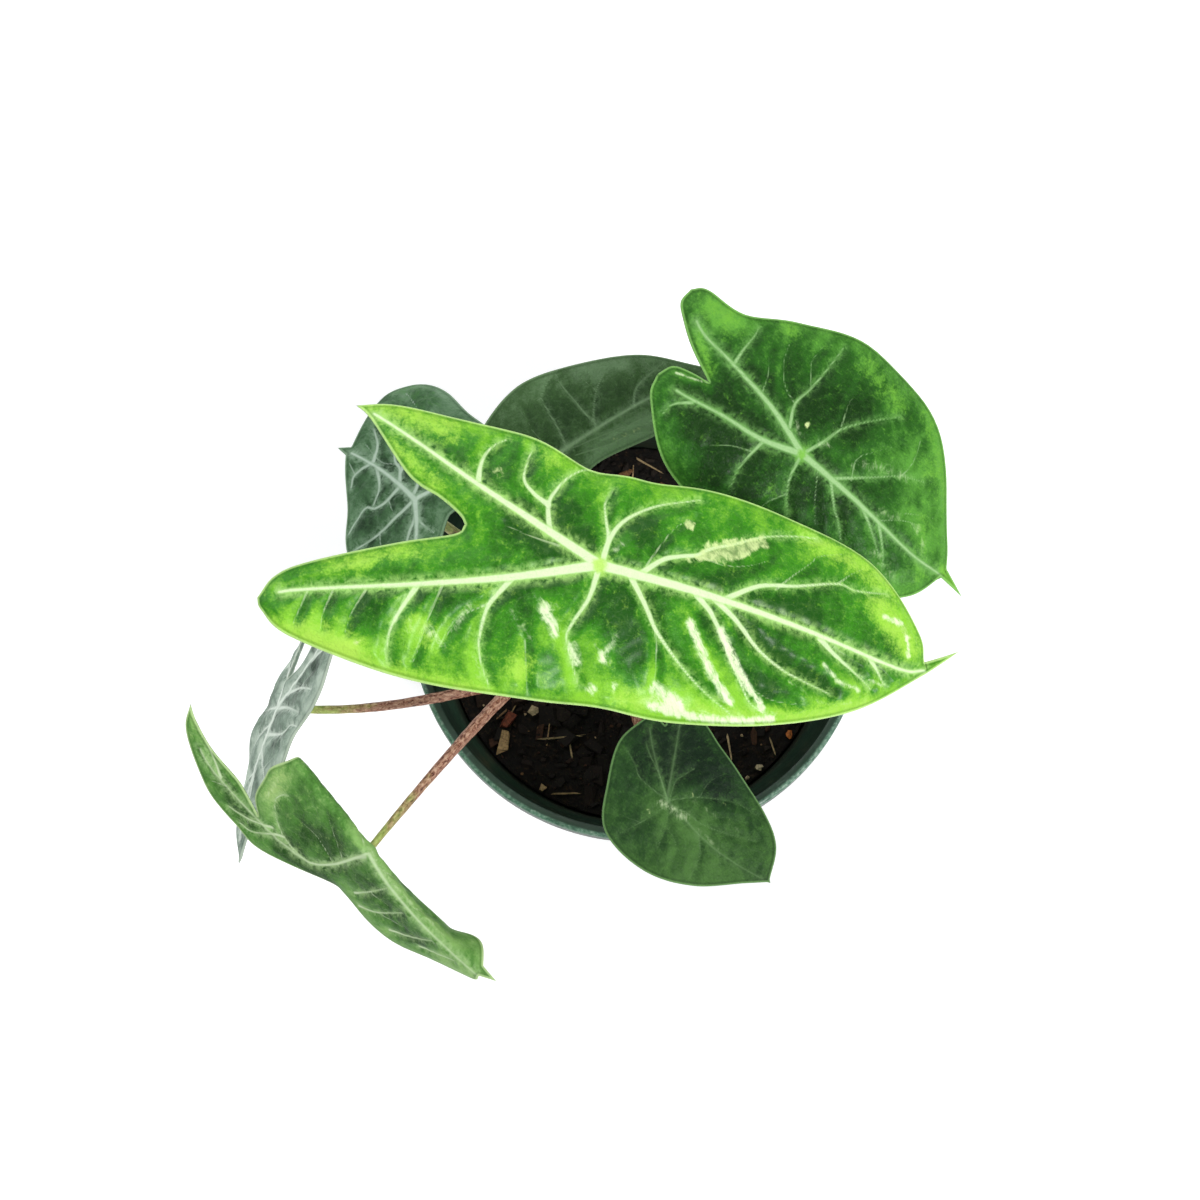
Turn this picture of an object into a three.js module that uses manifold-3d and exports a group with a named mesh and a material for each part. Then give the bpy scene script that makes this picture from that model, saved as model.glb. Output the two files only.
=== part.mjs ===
// Potted alocasia in a nursery pot, looked down on. Millimetres, +Z up, origin under the pot's middle.
import * as THREE from "three";
import Module from "manifold-3d";

// Pot sizes
const POT_HEIGHT = 120;
const LIP_RADIUS = 77.5;
const LIP_HEIGHT = 8;
const WALL = 1.4;
const TOP_RADIUS = 75.2;        // outside of the wall just under the lip
const BAND_HEIGHT = 26;         // the wider band below the lip
const BAND_STEP = 1.1;
const FOOT_RADIUS = 55;
const FLOOR = 2.4;
const DRAIN_RING = 38;
const DRAIN_RADIUS = 5;
const DRAINS = 6;

// Potting mix and stalks
const SOIL_TOP = 88;
const CLEAR = 0.3;              // gap that touching pieces keep
const STALK_SUNK = 12;
const STALK_SIDES = 8;
const STALK_STEPS = 14;

// Blades
const BLADE = 0.8;              // thickness of the thin part
const MARGIN = 0.6;             // thickness at the edge
const RIB = 1.2;                // how far the three main ribs stand out below
const RIB_TOP = 0.35;           // and above
const RIB_SIDE = 2;             // from a rib's middle to its foot
const COLUMNS = 8;              // cells from the midrib to the edge
const RIB_COLUMN = 3;           // the column that follows a basal rib
const DRIP_ROWS = 2;            // rows in the drip tip
const BOSS = 3;                 // where the stalk meets the blade

// Each blade is drawn flat from its stalk, x along the midrib to the tip, y to its left.
// left: tip to left lobe, notch: left lobe to right lobe, right: right lobe back to the tip.
// middle: points of the midrib, basal: the ribs into both lobes, sinus: the notch point between the lobes.
// rows: from tip to stalk, stalk to sinus, sinus to lobe tips.
// fold: droop of left and right half in degrees, in front of and behind the stalk.
// cup: how fast the halves curl down, arch: how fast the midrib and the lobes bend down.
const LEAVES = [
  {
    name: "blade_1_big", at: [-13, -21.2, 285], heading: -14, pitch: 12, roll: 0,
    fold: [6, 6, 4, 4], cup: [0.003, 0.003, 0.002, 0.002], arch: [0.004, 0.003],
    wave: [1.6, 9, 0.5], quilt: 0.5, tail: [8, 6], rows: [20, 7, 8], sinus: 5,
    middle: [[104, 1.5], [94, -0.8], [60, 0.4], [30, 0.8]],
    basal: [[[-23, 7.6], [-40, 13.5], [-54, 19], [-68, 24.2]], [[-23, -10], [-47, -18.4], [-68, -24.7], [-80, -28.5]]],
    left: [[105, 3], [99, 12], [80, 27], [51, 31], [23, 30], [-6, 26], [-28, 30], [-53, 30], [-66, 29], [-75, 26]],
    notch: [[-75, 26], [-70, 23], [-56, 10], [-46, 6], [-40, 3], [-38, 1], [-40, -2], [-54, -8], [-76, -19],
      [-84, -25], [-87, -32]],
    right: [[-87, -32], [-85, -35], [-76, -40], [-50, -43], [-22, -42], [5, -38], [34, -35], [60, -28],
      [86, -16], [105, 3]],
    foot: [-13, -10.6], stalk: [-0.15, 0.1, -1], thick: [3.2, 1.9], reach: [90, 60], color: 0x4f9a1c
  },
  {
    name: "blade_2_broad", at: [45.1, 19.5, 250], heading: -38, pitch: 16, roll: 0,
    fold: [8, 8, 6, 6], cup: [0.004, 0.004, 0.004, 0.004], arch: [0.005, 0.004],
    wave: [1.2, 7, 2], quilt: 0.5, tail: [7, 0], rows: [14, 7, 5], sinus: 4,
    middle: [[57, 1.8], [44, 0], [20, 0.3]],
    basal: [[[-15, 4.7], [-32, 7.6], [-46, 10]], [[-12, -4.5], [-25, -6.4], [-38, -9]]],
    left: [[58, 3], [53, 12], [40, 28], [22, 40], [-3, 41], [-24, 32], [-38, 22], [-51, 21], [-55, 18]],
    notch: [[-55, 18], [-55, 13], [-51, 9], [-44, 4], [-34, -1], [-40, -2], [-45, -4], [-47, -9]],
    right: [[-47, -9], [-44, -16], [-30, -27], [-9, -31], [13, -29], [40, -21], [53, -10], [58, 3]],
    foot: [-3.1, -5.2], stalk: [-0.3, 0.1, -1], thick: [2.8, 1.7], reach: [80, 50], color: 0x2c6a22
  },
  {
    name: "blade_3_silver", at: [-68.8, 15.1, 215], heading: 141, pitch: 26, roll: 0,
    fold: [8, 8, 6, 6], cup: [0.004, 0.004, 0.004, 0.004], arch: [0.001, 0.003],
    wave: [0.9, 6, 1], quilt: 0.4, tail: [4, 1], rows: [10, 4, 7], sinus: 2,
    middle: [[31, -1], [20, -1.8], [9, -1.2]], basal: [[[-8, 8], [-15, 18]], [[-5, -12]]],
    left: [[33, -1], [22, 12], [11, 24], [0, 31], [-13, 34], [-20, 28]],
    notch: [[-20, 28], [-18, 13], [-14, -2], [-14, -15], [-9, -28]],
    right: [[-9, -28], [1, -33], [12, -34], [23, -36], [31, -35], [37, -31], [41, -24], [39, -14], [33, -1]],
    foot: [-17.2, -1.3], stalk: [0.4, -0.25, -0.9], thick: [2.4, 1.5], reach: [70, 40], color: 0x4b6650
  },
  {
    name: "blade_4_grey", at: [-29.5, 25.3, 220], heading: 33, pitch: 14, roll: 12,
    fold: [10, 10, 6, 6], cup: [0.004, 0.004, 0.004, 0.004], arch: [0.004, 0.003],
    wave: [0.9, 7, 0], quilt: 0.4, tail: [5, 0], rows: [13, 3, 3], sinus: 2,
    middle: [[70, -3], [55, 0.5], [40, 2.2], [20, 1.5]], basal: [[[-9, 4], [-17, 6]], [[-8, -6], [-15, -13]]],
    left: [[76, -5], [62, 6], [48, 16], [31, 22], [13, 25], [2, 24], [-12, 18], [-20, 11], [-22, 4]],
    notch: [[-22, 4], [-16, 1], [-12, -1], [-16, -8], [-19, -18]],
    right: [[-19, -18], [-8, -19], [5, -12], [16, -8], [38, -9], [57, -9], [76, -5]],
    foot: [-8.8, 0.2], stalk: [-0.2, -0.1, -1], thick: [2.4, 1.5], reach: [70, 45], color: 0x35503a
  },
  {
    name: "blade_5_young", at: [8.2, -69.1, 160], heading: -44, pitch: 10, roll: 0,
    fold: [4, 4, 4, 4], cup: [0.004, 0.004, 0.004, 0.004], arch: [0.004, 0.004],
    wave: [0.8, 6, 0], quilt: 0.3, tail: [1, 0], rows: [9, 4, 3], sinus: 2,
    middle: [[40, 4], [30, 1.2], [18, -0.5]], basal: [[[-8, 12], [-14, 21]], [[-12, 7], [-19, 12]]],
    left: [[42, 5], [36, 15], [26, 20], [12, 23], [1, 25], [-8, 27], [-15, 25]],
    notch: [[-15, 25], [-18, 21], [-17, 17], [-21, 17], [-23, 16]],
    right: [[-23, 16], [-24, 3], [-17, -10], [-7, -21], [11, -21], [26, -13], [37, -1], [42, 5]],
    foot: [-6, -18.5], stalk: [-0.1, 0.3, -0.95], thick: [2.0, 1.3], reach: [35, 25], color: 0x2d5a2a
  },
  {
    name: "blade_6_hanging", at: [-119.3, -35.6, 138], heading: -113, pitch: 12, roll: 62,
    fold: [0, 0, 0, 14], cup: [0.002, 0.002, 0.002, 0.002], arch: [0.003, 0.002],
    wave: [0.8, 6, 1], quilt: 0.4, tail: [2, 0], rows: [12, 3, 8], sinus: 3,
    middle: [[44, 9], [30, 3], [15, 0.5]], basal: [[[-14, 9], [-28, 15]], [[-12, -6.5], [-25, -10]]],
    left: [[49, 13], [42, 14], [33, 15], [24, 19], [14, 27], [2, 25], [-8, 30], [-16, 32], [-25, 29], [-33, 22],
      [-39, 12]],
    notch: [[-39, 12], [-29, 7], [-17, 4], [-8, -2], [-16, -5], [-27, -7], [-37, -10]],
    right: [[-37, -10], [-30, -15], [-20, -17], [-10, -18], [-3, -20], [5, -20], [15, -18], [28, -8], [42, 2],
      [49, 13]],
    foot: [-22, -17], stalk: [0.88, -0.02, -0.45], boss: 3.2, thick: [2.4, 1.3], reach: [50, 50], color: 0x6f7f74
  },
  {
    name: "blade_7_folded", at: [-84.9, -89.4, 182], heading: -50, pitch: 6, roll: 54,
    fold: [146, 0, 146, 0], cup: [0, 0.003, 0, 0.002], arch: [0.003, 0.002],
    soft: 4, twist: [0.3, 0.4], sag: [4, 52], open: [0.45, 34, 52],
    wave: [0.5, 6, 1], quilt: 0.35, tail: [5, 2], rows: [14, 9, 9], sinus: 4, ribs: [0, 0, 1],
    middle: [[50, -0.6], [46, -1.6], [39, -3], [26, -4], [13, -3], [6, -1.6]],
    basal: [[[-12, 0], [-25, 0]], [[-2, -5], [-5, -15], [-10, -23], [-20, -26], [-28, -27], [-41, -27], [-56, -26]]],
    left: [[50, 3], [42, 11], [29, 15], [16, 13], [5, 9], [-6, 10], [-18, 16], [-28, 18], [-36, 11], [-38, -0.5]],
    notch: [[-38, -0.5], [-40, -8], [-39, -13], [-37, -21], [-32, -26], [-40, -23], [-45, -22], [-56, -22],
      [-66, -20], [-71, -18]],
    right: [[-71, -18], [-66, -25], [-53, -32], [-45, -35], [-34, -36], [-23, -36], [-2, -25], [5, -24],
      [25, -25], [38, -17], [50, -4], [50, 3]],
    foot: [-22.9, -7], stalk: [-0.31, -0.13, -0.94], boss: 7, thick: [3.0, 1.0], reach: [80, 24], color: 0x3f7a35
  }
];

const STALK_NAMES = ["stalk_1_big", "stalk_2_broad", "stalk_3_silver", "stalk_4_grey", "stalk_5_young",
  "stalk_6_hanging", "stalk_7_folded"];
const STALK_COLOR = 0x9a7a66;
const POT_COLOR = 0x23392e;
const SOIL_COLOR = 0x2a201a;

const rad = (d) => d * Math.PI / 180;
const group = new THREE.Group();

function material(color, roughness) {
  return new THREE.MeshStandardMaterial({ color, roughness, metalness: 0, side: THREE.FrontSide });
}

function addMesh(name, geometry, color, roughness) {
  geometry.computeVertexNormals();
  const mesh = new THREE.Mesh(geometry, material(color, roughness));
  mesh.name = name;
  group.add(mesh);
  return mesh;
}

function makeGeometry(points, faces) {
  const geometry = new THREE.BufferGeometry();
  geometry.setAttribute("position", new THREE.Float32BufferAttribute(points.flat(), 3));
  geometry.setIndex(faces.flat());
  return geometry;
}

// Smooth curve through points, that gives the point at a fraction of its length
function curve(points) {
  const fine = [];
  const p = [points[0].map((c, i) => 2 * c - points[1][i]), ...points,
    points.at(-1).map((c, i) => 2 * c - points.at(-2)[i])];
  for (let i = 1; i < p.length - 2; i++) {
    for (let k = 0; k < 24; k++) {
      const t = k / 24;
      fine.push([0, 1].map((j) => 0.5 * (2 * p[i][j] + (p[i + 1][j] - p[i - 1][j]) * t
        + (2 * p[i - 1][j] - 5 * p[i][j] + 4 * p[i + 1][j] - p[i + 2][j]) * t * t
        + (3 * p[i][j] - p[i - 1][j] - 3 * p[i + 1][j] + p[i + 2][j]) * t * t * t)));
    }
  }
  fine.push(points.at(-1));
  const run = [0];
  for (let i = 1; i < fine.length; i++) {
    run.push(run[i - 1] + Math.hypot(fine[i][0] - fine[i - 1][0], fine[i][1] - fine[i - 1][1]));
  }
  const length = run.at(-1);
  const at = (f) => {
    const s = f * length;
    let i = run.findIndex((r) => r >= s);
    if (i < 1) i = i < 0 ? fine.length - 1 : 1;
    const t = Math.min(1, Math.max(0, (s - run[i - 1]) / (run[i] - run[i - 1] || 1)));
    return mix(fine[i - 1], fine[i], t);
  };
  return { at, length, fine };
}

function mix(a, b, t) {
  return [a[0] * (1 - t) + b[0] * t, a[1] * (1 - t) + b[1] * t];
}

// The blade's curves: both sides of the drip tip, both outer edges, the midrib, the notch and the basal ribs
function drawBlade(leaf) {
  const apex = leaf.left[0];
  const [tx, ty] = leaf.tail;
  const long = Math.hypot(tx, ty);
  const tip = [apex[0] + tx, apex[1] + ty];
  const half = Math.min(1.7, 0.3 + 0.35 * long);
  const beside = (along, side) => [apex[0] + along * tx - side * ty / long, apex[1] + along * ty + side * tx / long];
  const notch = leaf.notch;
  const back = [curve(notch.slice(0, leaf.sinus + 1).reverse()), curve(notch.slice(leaf.sinus))];
  const edges = [leaf.left.slice(1), leaf.right.slice(0, -1).reverse()];
  return {
    drip: [1, -1].map((side) => curve([tip, beside(0.5, 0.45 * half * side), beside(-0.06, half * side)])),
    outer: [1, -1].map((side, k) => curve([beside(-0.06, half * side), ...edges[k]])),
    point: curve([tip, beside(-0.06, 0)]),
    front: curve([beside(-0.06, 0), ...leaf.middle, [0, 0]]),
    gap: curve([[0, 0], notch[leaf.sinus]]),
    back,
    rib: [0, 1].map((k) => curve([[0, 0], ...leaf.basal[k], back[k].at(1)]))
  };
}

// Fractions of a row's width for the columns, with narrow ones beside the ribs
function columns(wide, basal) {
  const out = [0];
  const side = Math.min(0.9 * RIB_SIDE / wide, 0.12);
  out.push(basal === null ? Math.min(RIB_SIDE / wide, 0.12) : Math.min(side, basal / 3));
  const far = basal === null ? RIB_COLUMN / COLUMNS : basal;
  out.push(Math.max(far - RIB_SIDE / wide, (out[1] + far) / 2), far);
  const rest = 1 - far;
  out.push(far + Math.min(RIB_SIDE / wide, rest / 4));
  for (let c = RIB_COLUMN + 2; c <= COLUMNS; c++) {
    out.push(out[RIB_COLUMN + 1] + (1 - out[RIB_COLUMN + 1]) * (c - RIB_COLUMN - 1) / (COLUMNS - RIB_COLUMN - 1));
  }
  return out;
}

// The rows of one half of the flat blade, from the tip to the lobe tip, each from its inner to its outer edge
function halfRows(leaf, lines, k) {
  const [nf, ns, nl] = leaf.rows;
  const inner = [lines.front.length, lines.gap.length, lines.back[k].length];
  const all = inner[0] + inner[1] + inner[2];
  const rows = [];
  for (let i = -DRIP_ROWS; i <= nf + ns + nl; i++) {
    let a;
    let s = 0;
    if (i <= 0) {
      a = lines.point.at(1 + i / DRIP_ROWS);
    } else if (i <= nf) {
      a = lines.front.at(i / nf);
      s = inner[0] * i / nf;
    } else if (i <= nf + ns) {
      a = lines.gap.at((i - nf) / ns);
      s = inner[0] + inner[1] * (i - nf) / ns;
    } else {
      a = lines.back[k].at((i - nf - ns) / nl);
      s = inner[0] + inner[1] + inner[2] * (i - nf - ns) / nl;
    }
    const b = i <= 0 ? lines.drip[k].at(1 + i / DRIP_ROWS) : lines.outer[k].at(s / all);
    const wide = Math.max(0.01, Math.hypot(b[0] - a[0], b[1] - a[1]));
    const row = [];
    if (i < nf) {
      const close = Math.min(1, (nf - i) / 4);
      const f = columns(wide, null).map((c, n) => n <= RIB_COLUMN ? c * close
        : RIB_COLUMN / COLUMNS * close + (c - RIB_COLUMN / COLUMNS) * (1 - RIB_COLUMN / COLUMNS * close)
          / (1 - RIB_COLUMN / COLUMNS));
      f.forEach((c) => row.push(mix(a, b, c)));
    } else {
      const m = lines.rib[k].at((i - nf) / (ns + nl));
      const parts = [Math.hypot(m[0] - a[0], m[1] - a[1]), Math.hypot(b[0] - m[0], b[1] - m[1])];
      const foot = [Math.min(RIB_SIDE / (parts[0] || 1), 1 / 3), Math.min(RIB_SIDE / (parts[1] || 1), 1 / 5)];
      for (const c of [0, foot[0], 1 - foot[0], 1]) row.push(mix(a, m, c));
      for (let c = 0; c < COLUMNS - RIB_COLUMN; c++) {
        row.push(mix(m, b, foot[1] + (1 - foot[1]) * c / (COLUMNS - RIB_COLUMN - 1)));
      }
    }
    rows.push(row);
  }
  return rows;
}

// Where a point of the flat blade lies once the blade is folded, cupped, arched and waved
function bend(leaf, x, y, r, turn) {
  const [sag, span] = leaf.sag ?? [0, 50];
  const q = Math.min(1.3, Math.max(0, x / span));
  const ridge = -sag * 4 * q * (1 - q);
  const v = Math.abs(y - ridge);
  const left = y - ridge >= 0;
  const front = 1 / (1 + Math.exp(-x / 10));
  const side = left ? 0 : 1;
  let fold = rad(leaf.fold[side] * front + leaf.fold[side + 2] * (1 - front));
  if (left && leaf.open) {
    const o = Math.min(1, Math.max(0, (x - leaf.open[1]) / (leaf.open[2] - leaf.open[1])));
    fold *= 1 - leaf.open[0] * o * o * (3 - 2 * o);
  }
  const cup = leaf.cup[side] * front + leaf.cup[side + 2] * (1 - front);
  let across = 0;
  let up = 0;
  for (let i = 0; i < 12; i++) {
    const t = (i + 0.5) / 12 * v;
    const g = fold * (1 - Math.exp(-t / (leaf.soft ?? 5))) + cup * t;
    across += Math.cos(g) * v / 12;
    up -= Math.sin(g) * v / 12;
  }
  across = (left ? 1 : -1) * across + ridge;
  // the edge runs in shallow waves, and the blade swells between its side veins
  up += leaf.wave[0] * r ** 3 * Math.sin(leaf.wave[1] * turn + leaf.wave[2]);
  up += leaf.quilt * Math.sin(Math.PI * r) * Math.cos((x - 0.7 * v) / 2.9);
  const twist = rad((leaf.twist ?? [0, 0])[x >= 0 ? 0 : 1] * x);
  const yy = across * Math.cos(twist) - up * Math.sin(twist);
  const zz = across * Math.sin(twist) + up * Math.cos(twist);
  const k = leaf.arch[x >= 0 ? 0 : 1];
  const t = k * Math.abs(x);
  const sign = x >= 0 ? 1 : -1;
  return [Math.sin(t) / k * sign + zz * Math.sin(t) * sign, yy, -(1 - Math.cos(t)) / k + zz * Math.cos(t)];
}

function placing(leaf) {
  const m = new THREE.Matrix4().makeTranslation(...leaf.at);
  m.multiply(new THREE.Matrix4().makeRotationZ(rad(leaf.heading)));
  m.multiply(new THREE.Matrix4().makeRotationY(rad(leaf.pitch)));
  m.multiply(new THREE.Matrix4().makeRotationX(rad(leaf.roll)));
  return m;
}

// One closed blade: both flat halves are welded along the midrib, bent, and given their thickness
function makeBlade(leaf) {
  const [nf, ns, nl] = leaf.rows;
  const lines = drawBlade(leaf);
  const edge = [...lines.drip, ...lines.outer, ...lines.back].flatMap((c) => c.fine);
  const ribs = leaf.ribs ?? [1, 1, 1];
  const flat = [];
  const rise = [];
  const known = new Map();
  const index = (p, rib) => {
    const key = p.map((c) => Math.round(c * 1e3)).join();
    if (!known.has(key)) {
      known.set(key, flat.length);
      flat.push(p);
      rise.push(0);
    }
    const i = known.get(key);
    rise[i] = Math.max(rise[i], rib);
    return i;
  };
  const faces = [];
  for (const k of [0, 1]) {
    const ids = halfRows(leaf, lines, k).map((row, n) => row.map((p, c) => {
      const i = n - DRIP_ROWS;
      const mid = c === 0 && i > 0 && i <= nf ? ribs[0] * (0.2 + 0.8 * i / nf) : 0;
      const low = c === RIB_COLUMN && i >= nf ? ribs[k + 1] * (1 - 0.75 * (i - nf) / (ns + nl)) : 0;
      return index(p, Math.max(mid, low));
    }));
    for (let i = 0; i < ids.length - 1; i++) {
      for (let c = 0; c < COLUMNS; c++) {
        const [a, b, d, e] = [ids[i][c], ids[i][c + 1], ids[i + 1][c + 1], ids[i + 1][c]];
        for (const t of [[a, b, d], [a, d, e]]) {
          if (new Set(t).size < 3) continue;
          faces.push(k === 0 ? t : [t[0], t[2], t[1]]);
        }
      }
    }
  }
  const matrix = placing(leaf);
  const top = flat.map(([x, y]) => {
    const near = Math.min(...edge.map(([u, v]) => Math.hypot(x - u, y - v)));
    const out = Math.hypot(x, y);
    return new THREE.Vector3(...bend(leaf, x, y, out / (out + near || 1), Math.atan2(y, x))).applyMatrix4(matrix);
  });
  const once = new Map();
  for (const t of faces) {
    for (let j = 0; j < 3; j++) {
      const [a, b] = [t[j], t[(j + 1) % 3]];
      if (!once.delete(`${b},${a}`)) once.set(`${a},${b}`, [a, b]);
    }
  }
  const rim = new Set([...once.values()].flat());
  const normals = top.map(() => new THREE.Vector3());
  for (const [a, b, c] of faces) {
    const n = top[b].clone().sub(top[a]).cross(top[c].clone().sub(top[a]));
    for (const i of [a, b, c]) normals[i].add(n);
  }
  const centre = index([0, 0], 0);
  const stalk = new THREE.Vector3(...leaf.stalk).normalize();
  const boss = top[centre].clone().addScaledVector(stalk, leaf.boss ?? BOSS);
  const points = [];
  const lower = [];
  top.forEach((p, i) => {
    const n = normals[i].normalize();
    points.push(p.clone().addScaledVector(n, RIB_TOP * rise[i]).toArray());
    const deep = (rim.has(i) ? MARGIN : BLADE) + RIB * rise[i];
    lower.push(i === centre ? boss.toArray() : p.clone().addScaledVector(n, -deep).toArray());
  });
  const size = points.length;
  points.push(...lower);
  const all = [];
  for (const [a, b, c] of faces) all.push([a, b, c], [a + size, c + size, b + size]);
  for (const [a, b] of once.values()) all.push([b, a, a + size], [b, a + size, b + size]);
  addMesh(leaf.name, makeGeometry(points, all), leaf.color, 0.4);
  return { end: boss.addScaledVector(stalk, CLEAR), stalk };
}

// A leaf stalk: straight up out of the mix, then in one curve to the blade
function stalkCurve(leaf, join) {
  const [x, y] = leaf.foot;
  const start = new THREE.Vector3(x, y, SOIL_TOP + 2);
  return new THREE.CubicBezierCurve3(start, start.clone().add(new THREE.Vector3(0, 0, leaf.reach[0])),
    join.end.clone().addScaledVector(join.stalk, leaf.reach[1]), join.end);
}

function makeStalk(name, leaf, join) {
  const curve = stalkCurve(leaf, join);
  const [x, y] = leaf.foot;
  const path = [new THREE.Vector3(x, y, SOIL_TOP - STALK_SUNK)];
  const dirs = [new THREE.Vector3(0, 0, 1)];
  for (let i = 0; i <= STALK_STEPS; i++) {
    path.push(curve.getPoint(i / STALK_STEPS));
    dirs.push(curve.getTangent(i / STALK_STEPS));
  }
  const points = [];
  const faces = [];
  let across = new THREE.Vector3(1, 0, 0);
  path.forEach((p, i) => {
    const d = dirs[i];
    across = across.clone().addScaledVector(d, -across.dot(d)).normalize();
    const other = d.clone().cross(across);
    const f = Math.max(0, i - 1) / STALK_STEPS;
    const r = leaf.thick[0] + (leaf.thick[1] - leaf.thick[0]) * f;
    for (let k = 0; k < STALK_SIDES; k++) {
      const a = 2 * Math.PI * k / STALK_SIDES;
      points.push(p.clone().addScaledVector(across, r * Math.cos(a)).addScaledVector(other, r * Math.sin(a)).toArray());
    }
  });
  const rows = path.length;
  const id = (i, k) => i * STALK_SIDES + (k + STALK_SIDES) % STALK_SIDES;
  for (let i = 0; i < rows - 1; i++) {
    for (let k = 0; k < STALK_SIDES; k++) {
      faces.push([id(i, k), id(i, k + 1), id(i + 1, k + 1)], [id(i, k), id(i + 1, k + 1), id(i + 1, k)]);
    }
  }
  points.push(path[0].toArray(), path[rows - 1].toArray());
  for (let k = 0; k < STALK_SIDES; k++) {
    faces.push([rows * STALK_SIDES, id(0, k + 1), id(0, k)]);
    faces.push([rows * STALK_SIDES + 1, id(rows - 1, k), id(rows - 1, k + 1)]);
  }
  addMesh(name, makeGeometry(points, faces), STALK_COLOR, 0.5);
}

LEAVES.forEach((leaf, i) => {
  makeStalk(STALK_NAMES[i], leaf, makeBlade(leaf));
});

// Booleans for the drainage holes and the holes that the stalks stand in
const wasm = await Module();
wasm.setup();

function toManifold(geometry) {
  const position = geometry.getAttribute("position");
  const keys = new Map();
  const verts = [];
  const remap = [];
  for (let i = 0; i < position.count; i++) {
    const p = [position.getX(i), position.getY(i), position.getZ(i)];
    const key = p.map((c) => Math.round(c * 1e4)).join();
    if (!keys.has(key)) {
      keys.set(key, verts.length / 3);
      verts.push(...p);
    }
    remap.push(keys.get(key));
  }
  const tris = [];
  const index = geometry.index.array;
  for (let i = 0; i < index.length; i += 3) {
    const t = [remap[index[i]], remap[index[i + 1]], remap[index[i + 2]]];
    if (t[0] !== t[1] && t[1] !== t[2] && t[2] !== t[0]) tris.push(...t);
  }
  return new wasm.Manifold(new wasm.Mesh({
    numProp: 3, vertProperties: new Float32Array(verts), triVerts: new Uint32Array(tris)
  }));
}

function fromManifold(solid) {
  const mesh = solid.getMesh();
  const geometry = new THREE.BufferGeometry();
  geometry.setAttribute("position", new THREE.Float32BufferAttribute(mesh.vertProperties, 3));
  geometry.setIndex([...mesh.triVerts]);
  return geometry;
}

function peg(radius, x, y, low, high, sides) {
  const geometry = new THREE.CylinderGeometry(radius, radius, high - low, sides);
  geometry.rotateX(Math.PI / 2);
  geometry.translate(x, y, (low + high) / 2);
  return toManifold(geometry);
}

// Outside radius of the pot's wall at a height
function wallRadius(z) {
  const taper = (TOP_RADIUS - BAND_STEP - FOOT_RADIUS) / POT_HEIGHT;
  return FOOT_RADIUS + taper * z + (z > POT_HEIGHT - BAND_HEIGHT ? BAND_STEP : 0);
}

// Inside radius below the band, where the mix lies
function insideRadius(z) {
  return wallRadius(Math.min(z, POT_HEIGHT - BAND_HEIGHT)) - WALL;
}

function turned(profile, segments) {
  const geometry = new THREE.LatheGeometry(profile.map(([r, z]) => new THREE.Vector2(r, z)), segments);
  geometry.rotateX(Math.PI / 2);
  return geometry;
}

function makePot() {
  const band = POT_HEIGHT - BAND_HEIGHT;
  const under = POT_HEIGHT - LIP_HEIGHT;
  const profile = [
    [0, 0], [FOOT_RADIUS - 1.5, 0], [FOOT_RADIUS, 1.5],
    [wallRadius(band) , band], [wallRadius(band + 0.01), band + 1.5],
    [wallRadius(under), under], [LIP_RADIUS - 0.4, under], [LIP_RADIUS, under + 1],
    [LIP_RADIUS, POT_HEIGHT - 1], [LIP_RADIUS - 0.8, POT_HEIGHT],
    [wallRadius(POT_HEIGHT) - WALL + 0.4, POT_HEIGHT], [wallRadius(POT_HEIGHT) - WALL, POT_HEIGHT - 0.8],
    [wallRadius(band + 0.01) - WALL, band + 1], [insideRadius(band), band - 0.5],
    [insideRadius(FLOOR + 1.5), FLOOR + 1.5], [insideRadius(FLOOR + 1.5) - 1.5, FLOOR], [0, FLOOR]
  ];
  let pot = toManifold(turned(profile, 56));
  for (let i = 0; i < DRAINS; i++) {
    const a = 2 * Math.PI * (i + 0.5) / DRAINS;
    pot = pot.subtract(peg(DRAIN_RADIUS, DRAIN_RING * Math.cos(a), DRAIN_RING * Math.sin(a), -1, FLOOR + 1, 16));
  }
  addMesh("pot", fromManifold(pot), POT_COLOR, 0.45);
}

// Height of the loose top of the mix
function crumb(x, y) {
  return 1.3 * Math.sin(x * 0.21 + 1.1 * Math.sin(y * 0.17)) * Math.cos(y * 0.24 + 0.8)
    + 0.8 * Math.sin(x * 0.63 + y * 0.41 + 2) * Math.sin(y * 0.57 - x * 0.23);
}

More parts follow.
